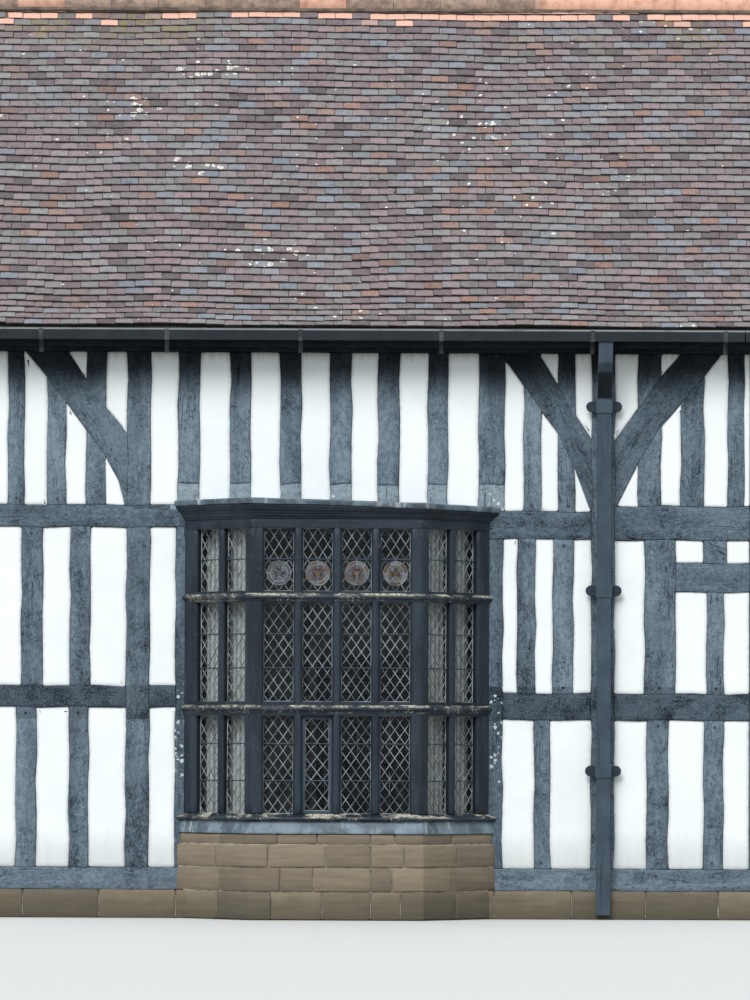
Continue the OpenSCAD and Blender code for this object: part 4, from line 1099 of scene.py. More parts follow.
@dataclass
class TimberFrame:
    """The oak frame: each node's timbers with worn arrises, wavering faces and pegs at their joints."""

    near: Dressing = Dressing(arris=0.010, steps=2, pitch=0.062, rough=0.0032, sway=0.003)
    far: Dressing = Dressing(arris=0.010, steps=2, pitch=0.10, rough=0.0032, sway=0.003)
    own: dict = field(default_factory=lambda: {
        "front_braces": BRACE_OAK, "window_posts": WINDOW_OAK, "front_rails": RAIL_OAK,
        **dict.fromkeys(("end_studs", "end_rails", "end_braces", "end_posts", "tie_beams"), END_OAK)})
    near_nodes: tuple = ("front_upper_studs", "front_middle_studs", "front_lower_studs", "front_rails",
                         "front_braces", "window_posts", "main_posts", "corner_posts", "wall_plates",
                         "sill_beams")
    far_nodes: tuple = ("tie_beams", "back_studs", "back_rails", "back_braces", "end_studs", "end_rails",
                        "end_braces", "end_posts")
    peg_d: float = 0.026
    peg_out: float = 0.007
    peg_sides: int = 10

    def build(self) -> None:
        """Builds every timber and the pegs."""
        for dressing, nodes in ((self.near, self.near_nodes), (self.far, self.far_nodes)):
            for node in nodes:
                dressing.piece("oak_" + node, node, self.own.get(node, OAK))
        self.pegs()

    def peg_places(self) -> list[tuple[Vector, Vector]]:
        """Returns the middle and outward direction of each peg, one beside each end of each stud."""
        rng = random.Random(5)
        places = []
        for wall in ("front_upper", "front_middle", "front_lower", "back", "end"):
            node = wall + "_studs"
            for low, high in spans_of(node):
                if high.z - low.z < 0.7:
                    continue
                face = Facing.of(node).out(low)
                x, y, _ = (low + high) / 2
                surface = max(low.dot(face), high.dot(face))
                for z in (low.z + 0.06, high.z - 0.06):
                    spot = Vector((x + rng.uniform(-1, 1) * 0.015, y, z))
                    spot += face * (surface - spot.dot(face))
                    places.append((spot, face))
        return places

    def pegs(self) -> None:
        """Sets the oak pegs by a tree that stands one on each place."""
        places = self.peg_places()
        mesh = bpy.data.meshes.new("peg places")
        mesh.from_pydata([p for p, _ in places], [], [])
        mark(mesh, "out", [o for _, o in places])
        t = NodeTree("oak pegs")
        wide, out, sides = t.size("Width"), t.size("Stand out"), t.size("Sides", "Int")
        peg = t.geo("MeshCylinder", {"Vertices": sides, "Radius": wide * 0.5, "Depth": out * 2.0},
                    fill_type="NGON")
        turn = t.add("FunctionNodeAlignRotationToVector", {"Vector": t.read("out", "FLOAT_VECTOR")}, axis="Z")
        scale = t.joined(t.chance(0.85, 1.15, 3), t.chance(0.85, 1.15, 4), t.chance(0.6, 1.2, 5))
        t.end(t.geo("InstanceOnPoints", {"Points": t.geo("MeshToPoints", {0: t.source}), "Scale": scale,
                                         "Instance": peg["Mesh"], "Rotation": turn}), RAIL_OAK)
        made = t.run(mesh, {"Width": self.peg_d, "Stand out": self.peg_out, "Sides": self.peg_sides})
        finished(made, "oak_pegs", RAIL_OAK)


def corner_turn(points: Outline, i: int) -> tuple[Vector, Vector, float, float]:
    """Returns the directions in and out of an outline's corner, its turn in radians and its shorter side."""
    count = len(points)
    here = Vector(points[i])
    before = here - Vector(points[i - 1])
    after = Vector(points[(i + 1) % count]) - here
    turn = math.atan2(before.x * after.y - before.y * after.x, before.dot(after))
    return before.normalized(), after.normalized(), turn, min(before.length, after.length)


def eased(start: Vector, middle: Vector, end: Vector, share: float) -> Vector:
    """Returns a point of the curve that rounds a corner."""
    return start * (1 - share) ** 2 + middle * 2 * share * (1 - share) + end * share ** 2


def drawn_in(points: Sequence, by: float, radii: Optional[Sequence[float]] = None, steps: int = 3) -> list:
    """Draws an outline that runs anticlockwise in by a distance, and rounds its outward corners.

    Args:
        points: its corners.
        by: how far it is drawn in, or out where that is negative.
        radii: each corner's radius, or none for sharp corners.
        steps: how many straight bits make a round corner.

    Returns:
        The new corners, as many for any distance.
    """
    out = []
    for i, point in enumerate(points):
        before, after, turn, side = corner_turn(points, i)
        bisector = Vector((-before.y - after.y, before.x + after.x))
        if bisector.length < 1e-6:
            bisector = Vector((-before.y, before.x))
        middle = Vector(point) + bisector.normalized() * by / max(math.cos(turn / 2), 0.35)
        if radii is None or turn < 0.35:
            out.append(tuple(middle))
            continue
        radius = max(radii[i] - by, 0.25 * radii[i])
        cut = min(radius * math.tan(turn / 2), 0.42 * max(side - 2 * by, 0.2 * side))
        start = middle - before * cut
        end = middle + after * cut
        out.extend(tuple(eased(start, middle, end, k / steps)) for k in range(steps + 1))
    return out


@dataclass
class PlasterPanels:
    """Limed plaster between the timbers: soft corners, a soft edge and a trowelled face."""

    corner: tuple = (0.012, 0.03)
    edge_r: float = 0.012
    band: float = 0.045
    skin: float = 0.05
    tuck: float = 0.006
    pitch: float = 0.085
    rough: float = 0.0035
    walls: tuple = ("front_upper_panels", "front_middle_panels", "front_lower_panels", "back_panels",
                    "end_panels")

    def outline(self, solid: Solid, out: Vector, side: Vector) -> Optional[list]:
        """Returns a panel's outline seen from outside, if its outer face is in one piece."""
        solid.normal_update()
        faces = [f for f in solid.faces if f.normal.dot(out) > 0.99]
        if len(faces) != 1:
            return None
        return [(v.co.dot(side), v.co.z) for v in faces[0].verts]

    def panel(self, solid: Solid, out: Vector, parts: Parts, rng: random.Random) -> None:
        """Adds one panel to the parts of its wall."""
        side = UP.cross(out)
        plain = self.outline(solid, out, side)
        back, front = sorted(corner.dot(out) for corner in span(solid))
        if plain is None:
            Dressing(arris=0.008, pitch=self.pitch).collect(solid, parts, rng)
            return
        solid.free()
        sides = list(zip(plain, plain[1:] + plain[:1]))
        room = sum(a[0] * b[1] - b[0] * a[1] for a, b in sides) / 2 / sum(math.dist(a, b) for a, b in sides)
        soft = min(self.edge_r, 0.25 * room)
        band = min(self.band, 0.5 * room)
        radii = [rng.uniform(*self.corner) for _ in plain]
        body = drawn_in(plain, -self.tuck)
        steps = ((-self.tuck / 2, self.skin, 1.0), (0.0, soft, 1.0), (0.3 * soft, 0.35 * soft, 0.9),
                 (soft, 0.05 * soft, 0.6), (band, 0.0, 0.0))
        rings = [(drawn_in(plain, by, radii), front - down, wear) for by, down, wear in steps]
        tone = rng.random()
        self.stack([(body, back, 0.0), (body, front - self.skin - 0.001, 0.0)], out, side, tone, parts)
        self.stack(rings, out, side, tone, parts)

    def stack(self, rings: Sequence, out: Vector, side: Vector, tone: float, parts: Parts) -> None:
        """Adds the closed body that runs through a row of outlines of like length.

        Args:
            rings: (outline, distance outwards, share of wear) from the back to the face.
            out: the direction outwards.
            side: the direction that outlines run along.
            tone: the panel's random number.
            parts: what it is added to.
        """
        work = bmesh.new()
        worn = work.verts.layers.float.new("worn")
        rows = []
        for shape, far, wear in rings:
            row = [work.verts.new(side * u + out * far + UP * z) for u, z in shape]
            for vert in row:
                vert[worn] = wear
            rows.append(row)
        count = len(rows[0])
        for lower, upper in zip(rows, rows[1:]):
            for i in range(count):
                j = (i + 1) % count
                work.faces.new((lower[i], lower[j], upper[j], upper[i]))
        work.faces.new(list(reversed(rows[0])))
        work.faces.new(rows[-1])
        for ends, direction in zip(zip(*rings[0][0]), (side, UP)):
            low, high = min(ends), max(ends)
            slice_up(work, direction, low, high, int((high - low) / self.pitch))
        parts.take(work, tone, lambda p: (p.z * 0.7 + tone * 30, p.dot(side) * 0.35, p.dot(out) * 0.35))

    def build(self) -> None:
        """Builds the panels of every wall."""
        for node in self.walls:
            rng = random.Random(node)
            parts = Parts()
            facing = Facing.of(node)
            for solid in bodies_of(node):
                self.panel(solid, facing.out(span(solid)[0]), parts, rng)
            lime = END_PLASTER if facing is Facing.END else PLASTER
            parts.build("plaster_" + node, lime, node, rough=self.rough, seed=len(node))


# Roof

@dataclass
class TileRoof:
    """Plain tiles laid in courses on both slopes, half bonded, over the roof's boards."""

    gauge: float = 0.0965
    tile_w: float = 0.1632
    tile_l: float = 0.235
    tile_t: float = 0.013
    sunk: float = 0.046
    wave: float = 0.018
    drift: float = 0.06
    kinds: int = 6
    columns: int = 46

    def profile(self, node: str) -> list[tuple[float, float]]:
        """Returns the slab's top line as distances from the ridge's plane and heights, from the eaves up."""
        points = {(round(abs(v.co.y), 4), round(v.co.z, 4)) for v in frame["nodes"][node].data.vertices}
        apex = max(points, key=lambda p: p[1])
        eave = max(points, key=lambda p: (p[0], p[1]))
        bell = max((p for p in points if apex[0] + 0.5 < p[0] < eave[0] - 0.2), key=lambda p: p[1])
        return [eave, bell, apex]

    def kind(self, number: int) -> bpy.types.Object:
        """Makes one kind of tile: cambered, a little uneven, some with a chipped corner.

        Args:
            number: which kind it is.

        Returns:
            A helper object, its tail at the origin and its length along Y.
        """
        rng = random.Random(100 + number)
        crown, curl = rng.uniform(0.001, 0.003), rng.uniform(0.002, 0.005)
        nx = ny = 3
        tail = [rng.uniform(-0.0025, 0.0025) for _ in range(nx + 1)]
        if number % 3 == 0:
            tail[0] += 0.007
        points, where = [], []
        for top in (1, 0):
            for j, v in enumerate((0.0, 0.12, 0.5, 1.0)):
                for i in range(nx + 1):
                    u = i / nx
                    y = v * self.tile_l + (tail[i] if j == 0 else 0)
                    z = crown * (1 - (2 * u - 1) ** 2) - curl * (1 - v) ** 2
                    points.append(((u - 0.5) * self.tile_w, y, z + (self.tile_t if top else 0)))
                    where.append((u, v, float(top)))
        per = (nx + 1) * (ny + 1)
        faces = []
        for j in range(ny):
            for i in range(nx):
                a = j * (nx + 1) + i
                faces.append((a, a + 1, a + nx + 2, a + nx + 1))
        faces.append([per + k for k in (0, per - nx - 1, per - 1, nx)])
        grid = np.arange(per).reshape(ny + 1, nx + 1)
        for run in (grid[0], grid[:, -1], grid[-1, ::-1], grid[::-1, 0]):
            faces.append((*run[::-1].tolist(), per + int(run[0]), per + int(run[-1])))
        used = sorted({i for f in faces for i in f})
        order = {old: new for new, old in enumerate(used)}
        mesh = bpy.data.meshes.new(f"tile {number}")
        mesh.from_pydata([points[i] for i in used], [], [[order[i] for i in f] for f in faces])
        mark(mesh, "tile", [where[i] for i in used])
        mesh.shade_smooth()
        mesh.set_sharp_from_angle(angle=math.radians(30))
        return bpy.data.objects.new(f"tile {number}", mesh)

    def tree(self) -> NodeTree:
        """Builds the tree that lays the courses along a slope line."""
        t = NodeTree("tile courses")
        n, rows = t.size("Columns", "Int"), t.size("Courses", "Int")
        gauge, wide, lift = t.size("Gauge"), t.size("Run"), t.size("Lift")
        wave, drift, tilt = t.size("Wave"), t.size("Drift"), t.size("Tilt")
        seed = t.size("Seed", "Int")
        line, kinds = t.size("Slope line", "Object"), t.size("Tiles", "Collection")
        each = n + 1.0
        index = t.geo("InputIndex")
        row = t.math("FLOOR", (index + 0.5) / each)
        col = index - row * each
        odd = row % 2.0
        pitch = wide / n
        last_col = t.math("COMPARE", col, n, 0.1)
        first, last = odd * t.math("COMPARE", col, 0.0, 0.1), odd * last_col
        half = first + last
        x = wide * (-0.5) + (col + 0.5) * pitch - odd * (pitch * 0.5) + (first - last) * (pitch * 0.25)
        x = x + t.chance(-0.0015, 0.0015, seed) * (1.0 - half)
        points = t.geo("Points", {"Count": each * rows})
        for name, value in (("spare", (1.0 - odd) * last_col), ("s", row * gauge), ("x", x), ("half", half),
                            ("course", row / (rows - 1.0))):
            points = t.store(points, name, value)
        cull = t.geo("DeleteGeometry", {"Geometry": points, "Selection": t.read("spare") > 0.5})
        slope = t.geo("ObjectInfo", {"Object": line})
        flat = t.joined(t.read("x") * 0.62, t.read("s") * 0.36, seed)
        swell = t.add("TexNoise", {"Vector": flat, "Scale": 1.0, "Detail": 2.0})
        slide = (t.split(swell[1])[1] - 0.5) * (drift * 2.5)
        along = t.math("MAXIMUM", t.read("s") + slide + t.chance(-0.003, 0.003, seed + 1.0), 0.0)
        sample = t.geo("SampleCurve", {"Curves": slope["Geometry"], "Length": along},
                       mode="LENGTH", use_all_curves=True)
        _, py, pz = t.split(sample["Position"])
        _, ty, tz = t.split(sample["Tangent"])
        up = t.math("ARCTAN2", tz, ty)
        rise = lift + (swell - 0.5) * (wave * 2.5) + t.chance(-0.0015, 0.0015, seed + 2.0)
        spot = t.joined(t.read("x"), py - tz * rise, pz + ty * rise)
        placed = t.geo("SetPosition", {"Geometry": cull, "Position": spot})
        turn = t.joined(up - tilt + t.chance(-0.008, 0.008, 5), t.chance(-0.011, 0.011, 6),
                        t.chance(-0.016, 0.016, 7))
        shape = t.geo("CollectionInfo", {"Collection": kinds, "Separate Children": True,
                                                     "Reset Children": True})
        scale = t.joined(1.0 - t.read("half") * 0.5, 1.0, 1.0)
        laid = t.geo("InstanceOnPoints", {
            "Points": placed, "Instance": shape, "Pick Instance": True,
            "Instance Index": t.chance(0, 99, 8, "INT"), "Rotation": turn, "Scale": scale})
        any_tone = t.chance((0, 0, 0), (1, 1, 1), 9, "FLOAT_VECTOR")
        t.end(t.store(laid, "tone", any_tone, "FLOAT_VECTOR", "INSTANCE"), TILE)
        return t

    def slope_line(self, profile: Outline) -> bpy.types.Object:
        """Makes the line that the courses follow, from the eaves up, with an eased bell cast."""
        curve = bpy.data.curves.new("slope line", "CURVE")
        curve.dimensions = "3D"
        eave, bell, apex = (Vector((0, -y, z)) for y, z in profile)
        ease = 0.16
        start = bell + (eave - bell).normalized() * ease
        end = bell + (apex - bell).normalized() * ease
        points = [eave, *(eased(start, bell, end, k / 6) for k in range(7)), apex]
        spline = curve.splines.new("POLY")
        spline.points.add(len(points) - 1)
        for slot, point in zip(spline.points, points):
            slot.co = (*point, 1.0)
        return placed("slope line", curve)

    def slope(self, facing: Facing, seed: int, tree: NodeTree, kinds: bpy.types.Collection) -> None:
        """Lays one slope and its boards."""
        node, name = "roof_" + facing.value, "tiles_" + facing.value
        profile = self.profile(node)
        line = self.slope_line(profile)
        length = sum((Vector(a) - Vector(b)).length for a, b in zip(profile, profile[1:]))
        courses = int((length - 0.10) / self.gauge) + 1
        low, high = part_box(node)
        run = high.x - low.x - 0.006
        mesh = tree.run(bpy.data.meshes.new("start"), {
            "Columns": self.columns, "Courses": courses, "Gauge": self.gauge, "Run": run, "Lift": -0.020,
            "Wave": self.wave, "Drift": self.drift, "Tilt": math.radians(5.2), "Seed": seed,
            "Slope line": line, "Tiles": kinds})
        if facing is Facing.BACK:
            mesh.transform(Matrix.Rotation(math.pi, 4, "Z"))
        bpy.data.objects.remove(line)
        made = finished(mesh, name, TILE, 30)
        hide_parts(node)
        self.boards(node, name + "_boards")

    def boards(self, node: str, name: str) -> None:
        """Makes the slab under the tiles: the node's own solid, its top let down for the tiles."""
        parts = Parts()
        for solid in bodies_of(node):
            solid.normal_update()
            sign = -1 if span(solid)[0].y < -1 else 1
            top = {v for f in solid.faces if f.normal.z > 0.3 for v in f.verts}
            for vert in top:
                vert.co.z -= self.sunk * 1.4
            for vert in solid.verts:
                vert.co.x *= 0.9985
                if abs(vert.co.y) > 3.0:
                    vert.co.y -= sign * 0.015
            Dressing(arris=0.0, pitch=0.0, rough=0.0).collect(solid, parts, random.Random(3))
        parts.build(name, PLAIN_OAK)

    def build(self) -> None:
        """Lays both slopes."""
        kinds = bpy.data.collections.new("tile kinds")
        for number in range(self.kinds):
            kinds.objects.link(self.kind(number))
        tree = self.tree()
        self.slope(Facing.FRONT, 7, tree, kinds)
        self.slope(Facing.BACK, 31, tree, kinds)
        for piece in list(kinds.objects):
            bpy.data.objects.remove(piece)
        bpy.data.collections.remove(kinds)


@dataclass
class RoofTrim:
    """Ridge tiles in their mortar, rafters, barge boards and fascias."""

    clay: Dressing = Dressing(arris=0.004, steps=1, pitch=0.085, rough=0.002, sway=0.002)
    wood: Dressing = Dressing(arris=0.006, steps=1, pitch=0.12, rough=0.002)
    bed_w: float = 0.009
    bed_h: float = 0.012

    def bedding(self) -> None:
        """Lays the mortar along both edges of the ridge tiles."""
        low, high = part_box("ridge_tiles")
        rng = random.Random(8)
        parts = Parts()
        steps = 90
        for side in (-1, 1):
            y = side * (high.y - 0.012)
            rows = []
            for i in range(steps + 1):
                x = low.x + 0.006 + (high.x - low.x - 0.012) * i / steps
                out, down = rng.uniform(0.6, 1.0) * self.bed_w, rng.uniform(0.6, 1.0) * self.bed_h
                rows.append([(x, y + side * out, low.z + 0.004 - down), (x, y, low.z + 0.02),
                             (x, y - side * 0.03, low.z + 0.01), (x, y - side * 0.02, low.z - 0.03)])
            points = [p for row in rows for p in row]
            faces = [[4 * i + a, 4 * i + (a + 1) % 4, 4 * i + 4 + (a + 1) % 4, 4 * i + 4 + a]
                     for i in range(steps) for a in range(4)]
            faces += [[3, 2, 1, 0], [4 * steps + a for a in range(4)]]
            if side > 0:
                faces = [list(reversed(f)) for f in faces]
            parts.add(points, faces)
        parts.build("ridge_bedding", BEDDING)

    def build(self) -> None:
        """Builds the trim."""
        self.clay.piece("ridge", "ridge_tiles", RIDGE)
        self.bedding()
        self.wood.piece("roof_rafters", "rafters", PLAIN_OAK)
        self.wood.piece("verge_boards", "barge_boards", EAVES_BOARD)
        self.wood.piece("eaves_boards", "fascias", EAVES_BOARD)


@dataclass
class Rainwater:
    """The box gutters, their straps, the square downpipe and its eared collars."""

    shell: Dressing = Dressing(arris=0.0012, steps=1, pitch=0.16, rough=0.0007)
    cast: Dressing = Dressing(arris=0.003, steps=1, pitch=0.0, rough=0.0)

    def build(self) -> None:
        """Builds the rainwater goods."""
        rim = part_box("gutters")[1].z
        gutter_iron = PaintedIron("gutter iron", "iron", rgb(31, 38, 43), rgb(42, 50, 55), lip_z=rim)
        strap_iron = PaintedIron("strap iron", "iron", rgb(46, 50, 52), rgb(100, 104, 102))
        self.shell.piece("box_gutters", "gutters", gutter_iron)
        self.shell.piece("gutter_straps", "gutter_brackets", strap_iron)
        self.shell.piece("square_pipe", "downpipe", PaintedIron("pipe iron", "iron", shaded=(4.70, 4.95)))
        low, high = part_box("downpipe")
        clasp = ((low.x + high.x) / 2, (high.x - low.x) / 2 + 0.012)
        self.cast.piece("eared_collars", "pipe_collars", PaintedIron("collar iron", "iron", clasp=clasp))


# Stone

def prism(footprint: Outline, low: float, high: float) -> Solid:
    """Returns an upright solid over a footprint that runs anticlockwise seen from above."""
    solid = bmesh.new()
    under = [solid.verts.new((x, y, low)) for x, y in footprint]
    over = [solid.verts.new((x, y, high)) for x, y in footprint]
    solid.faces.new(list(reversed(under)))
    solid.faces.new(over)
    for i in range(len(footprint)):
        j = (i + 1) % len(footprint)
        solid.faces.new((under[i], under[j], over[j], over[i]))
    return solid


def block(x0: float, y0: float, x1: float, y1: float, low: float, high: float) -> Solid:
    """Returns an upright block."""
    return prism([(x0, y0), (x1, y0), (x1, y1), (x0, y1)], low, high)


@dataclass
class BayPlan:
    """The bay window's plan, read from the frame: three sides of an unequal octagon."""

    middle: float
    wall_half: float
    front_half: float
    out: float
    wall_y: float

    @classmethod
    def read(cls) -> "BayPlan":
        """Returns the plan that the bay's head was made to."""
        low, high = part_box("bay_head")
        front = [v.co.x for v in frame["nodes"]["bay_head"].data.vertices if v.co.y < low.y + 0.001]
        return cls((low.x + high.x) / 2, (high.x - low.x) / 2, (max(front) - min(front)) / 2,
                   high.y - low.y, high.y)

    def line(self, off: float) -> list[Vector]:
        """Returns the four corners of the plan, moved out by a distance, from left to right."""
        run = self.wall_half - self.front_half
        long = math.hypot(run, self.out)
        wall = self.wall_half + off * long / self.out
        front = self.front_half + off * (long - run) / self.out
        y = self.wall_y - self.out - off
        corners = ((-wall, self.wall_y), (-front, y), (front, y), (wall, self.wall_y))
        return [Vector((self.middle + x, y)) for x, y in corners]


@dataclass
class StoneBase:
    """The sandstone plinth and the bay's base, laid in blocks with open joints over mortar."""

    block: float = 0.62
    joint: float = 0.007
    stone: Dressing = Dressing(arris=0.012, steps=2, pitch=0.11, rough=0.004)

    def wall_course(self, node: str, parts: Parts, rng: random.Random) -> None:
        """Adds the blocks along each straight run of a plinth node."""
        for low, high in spans_of(node):
            axis = 0 if high.x - low.x > high.y - low.y else 1
            cuts = [low[axis]]
            while cuts[-1] < high[axis] - 1.3 * self.block:
                cuts.append(cuts[-1] + rng.uniform(0.75, 1.3) * self.block)
            cuts.append(high[axis])
            for a, b in zip(cuts, cuts[1:]):
                lo, hi = list(low), list(high)
                lo[axis], hi[axis] = a + self.joint / 2, b - self.joint / 2
                self.stone.collect(block(*lo[:2], *hi[:2], low.z, high.z), parts, rng)

    def core(self, node: str, parts: Parts) -> None:
        """Adds the mortar behind the joints: the node's own solids drawn in a little."""
        for solid in bodies_of(node):
            solid.normal_update()
            for vert in solid.verts:
                vert.co -= Vector(vert.normal) * 0.02
            Dressing(arris=0.0, pitch=0.0).collect(solid, parts, random.Random(2))

    def bay_course(self, plan: BayPlan, z: tuple[float, float], off: float, deep: float, shift: float,
                   parts: Parts, rng: random.Random) -> None:
        """Adds one course of the bay's base, with a stone turned round each corner.

        Args:
            plan: the bay's plan.
            z: the course's foot and top.
            off: how far its face stands out from the plan.
            deep: its depth.
            shift: how far its corner stones reach along the front.
            parts: what it is added to.
            rng: the base's random numbers.
        """
        outer, inner = plan.line(off), plan.line(off - deep)

        def at(side: int, share: float) -> tuple[Vector, Vector]:
            """The face's and the back's point at a share of the way along one side."""
            return (outer[side].lerp(outer[side + 1], share), inner[side].lerp(inner[side + 1], share))

        gap = self.joint / 2
        joints = {0: [0.0, 0.55 + shift], 1: [0.13 + shift, 0.42 - shift, 0.7, 0.87 - shift],
                  2: [0.45 - shift, 1.0]}
        runs = []
        for side, marks in joints.items():
            size = (outer[side + 1] - outer[side]).length
            for a, b in zip(marks, marks[1:]):
                runs.append([at(side, a + gap / size), at(side, b - gap / size)])
        for side in (0, 1):
            a, b = joints[side][-1], joints[side + 1][0]
            corner = (outer[side + 1], inner[side + 1])
            runs.append([at(side, a + gap / 0.9), corner, at(side + 1, b - gap / 1.5)])
        for run in runs:
            foot = [tuple(p[0]) for p in run] + [tuple(p[1]) for p in reversed(run)]
            self.stone.collect(prism(foot, z[0] + gap, z[1] - gap), parts, rng)

    def build(self) -> None:
        """Builds the plinth, the bay's base and the floor's finish."""
        rng = random.Random(12)
        for node in ("front_plinth", "back_plinth", "side_plinths"):
            parts, mortar = Parts(), Parts()
            self.wall_course(node, parts, rng)
            self.core(node, mortar)
            parts.build("blocks_" + node, STONE, node, rough=self.stone.rough, seed=4)
            mortar.build("mortar_" + node, MORTAR)
        plan = BayPlan.read()
        low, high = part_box("bay_plinth")
        apron_out = 0.045
        band = high.z - 0.096
        parts, mortar = Parts(), Parts()
        for (z0, z1), shift in zip(((low.z, 0.253), (0.253, 0.47), (0.47, band)), (0.0, 0.05, -0.02)):
            self.bay_course(plan, (z0, z1), apron_out, 0.23, shift, parts, rng)
        self.bay_course(plan, (band, high.z), apron_out - 0.02, 0.21, 0.03, parts, rng)
        parts.build("blocks_bay_plinth", STONE, "bay_plinth", rough=self.stone.rough, seed=6)
        self.core("bay_plinth", mortar)
        mortar.build("mortar_bay_plinth", MORTAR)
        floor = frame["nodes"]["ground_floor"]
        floor.data.materials.clear()
        floor.data.materials.append(FLAG.material())


# Windows

@dataclass
class Light:
    """One glazed light: where its glass stands and how big it is."""

    corner: Vector
    side: Vector
    out: Vector
    wide: float
    tall: float

    def at(self, u: float, v: float, far: float = 0.0) -> Vector:
        """Returns a point of the light: along it, up it and outwards."""
        return self.corner + self.side * u + UP * v + self.out * far


def lie(solid: Solid, centre: Optional[Vector] = None) -> tuple:
    """Finds how an upright sheet lies, and frees it.

    Args:
        solid: the sheet.
        centre: a point that it faces away from; without it, its largest face tells.

    Returns:
        The directions along it and out of it, then its lowest and highest place along, outwards and up.
    """
    solid.normal_update()
    normal = max(solid.faces, key=lambda f: f.calc_area()).normal
    out = Vector((normal.x, normal.y, 0)).normalized()
    points = [v.co.copy() for v in solid.verts]
    solid.free()
    if centre and (sum(points, Vector()) / len(points) - centre).dot(out) < 0:
        out.negate()
    side = UP.cross(out)
    return side, out, *((min(p.dot(way) for p in points), max(p.dot(way) for p in points))
                        for way in (side, out, UP))


def lights_of(node: str) -> list[Light]:
    """Returns the lights that a node's panes of glass stand for."""
    lights = []
    for solid in bodies_of(node):
        side, out, (u0, u1), (d0, d1), (z0, z1) = lie(solid, Vector((BayPlan.read().middle, 0, 0)))
        lights.append(Light(side * u0 + out * (d0 + d1) / 2 + UP * z0, side, out, u1 - u0, z1 - z0))
    return lights


def plate_faces(n: int) -> list[list[int]]:
    """Returns the faces of a thin plate: n corners of its front, then as many of its back."""
    around = [[i, n + i, n + (i + 1) % n, (i + 1) % n] for i in range(n)]
    return [list(range(n)), list(range(2 * n - 1, n - 1, -1))] + around


@dataclass
class LeadedGlazing:
    """Diamond panes in lead: each pane at its own angle, the leads as swept lines, and iron saddle bars."""

    pane_w: float = 0.09
    pane_h: float = 0.131
    pane_t: float = 0.003
    tilt: float = 0.018
    came_r: float = 0.0042
    edge_r: float = 0.006
    bar_r: float = 0.0055
    bar_behind: float = 0.012

    def counts(self, light: Light) -> tuple[int, int]:
        """Returns how many whole diamonds fit across and up a light."""
        return max(1, round(light.wide / self.pane_w)), max(1, round(light.tall / self.pane_h))

    def panes(self, light: Light, parts: Parts, rng: random.Random) -> None:
        """Adds the light's panes."""
        nx, ny = self.counts(light)
        w, h = light.wide / nx, light.tall / ny
        for j in range(2 * ny + 1):
            for i in range(nx + 1):
                u, v = ((i + 0.5) * w, j * h / 2) if j % 2 == 0 else (i * w, j * h / 2)
                if u > light.wide + 1e-6 or (j % 2 == 0 and i == nx):
                    continue
                shape = [(u, v - h / 2), (u + w / 2, v), (u, v + h / 2), (u - w / 2, v)]
                kept = [(a, b) for a, b in shape
                        if -1e-6 <= a <= light.wide + 1e-6 and -1e-6 <= b <= light.tall + 1e-6]
                if len(kept) >= 3:
                    self.pane(light, kept, (u, v), parts, rng)

    def pane(self, light: Light, shape: Sequence, centre: tuple, parts: Parts, rng: random.Random) -> None:
        """Adds one pane, turned a little about its own centre."""
        lean, nod = rng.gauss(0, self.tilt), rng.gauss(0, self.tilt)
        points = []
        for back in (0, 1):
            for u, v in shape:
                far = (u - centre[0]) * lean + (v - centre[1]) * nod - back * self.pane_t
                points.append(light.at(u, v, far))
        parts.add(points, plate_faces(len(shape)), rng.random())

    def leads(self, light: Light) -> list[tuple[Vector, Vector, float]]:
        """Returns the light's leads and bars as (start, end, radius)."""
        nx, ny = self.counts(light)
        w, h = light.wide / nx, light.tall / ny
        lines = []
        slope = h / w
        for rising in (1, -1):
            for k in range(-2 * ny, nx + 2 * ny + 1):
                clipped = self.clip(round(k * w, 6) + w / 2, rising * slope, light.wide, light.tall)
                if clipped:
                    (ua, va), (ub, vb) = clipped
                    lines.append((light.at(ua, va), light.at(ub, vb), self.came_r))
        rim = [(0, 0), (light.wide, 0), (light.wide, light.tall), (0, light.tall)]
        return lines + [(light.at(*a), light.at(*b), self.edge_r) for a, b in zip(rim, rim[1:] + rim[:1])]

    @staticmethod
    def clip(u0: float, slope: float, wide: float, tall: float) -> Optional[tuple]:
        """Returns the stretch inside a light of the line that crosses its foot at u0, or None."""
        ends = []
        for u in (0.0, wide):
            v = (u - u0) * slope
            if -1e-9 <= v <= tall + 1e-9:
                ends.append((u, v))
        for v in (0.0, tall):
            u = u0 + v / slope
            if 1e-9 < u < wide - 1e-9:
                ends.append((u, v))
        ends.sort()
        if len(ends) < 2 or math.hypot(ends[-1][0] - ends[0][0], ends[-1][1] - ends[0][1]) < 0.02:
            return None
        return ends[0], ends[-1]

    def bars(self, light: Light, heights: Sequence[float]) -> list[tuple[Vector, Vector, float]]:
        """Returns the saddle bars that cross a light at the given heights."""
        places = [z - light.corner.z for z in heights]
        return [(light.at(0, v, self.bar_behind), light.at(light.wide, v, self.bar_behind), self.bar_r)
                for v in places if 0.05 < v < light.tall - 0.05]


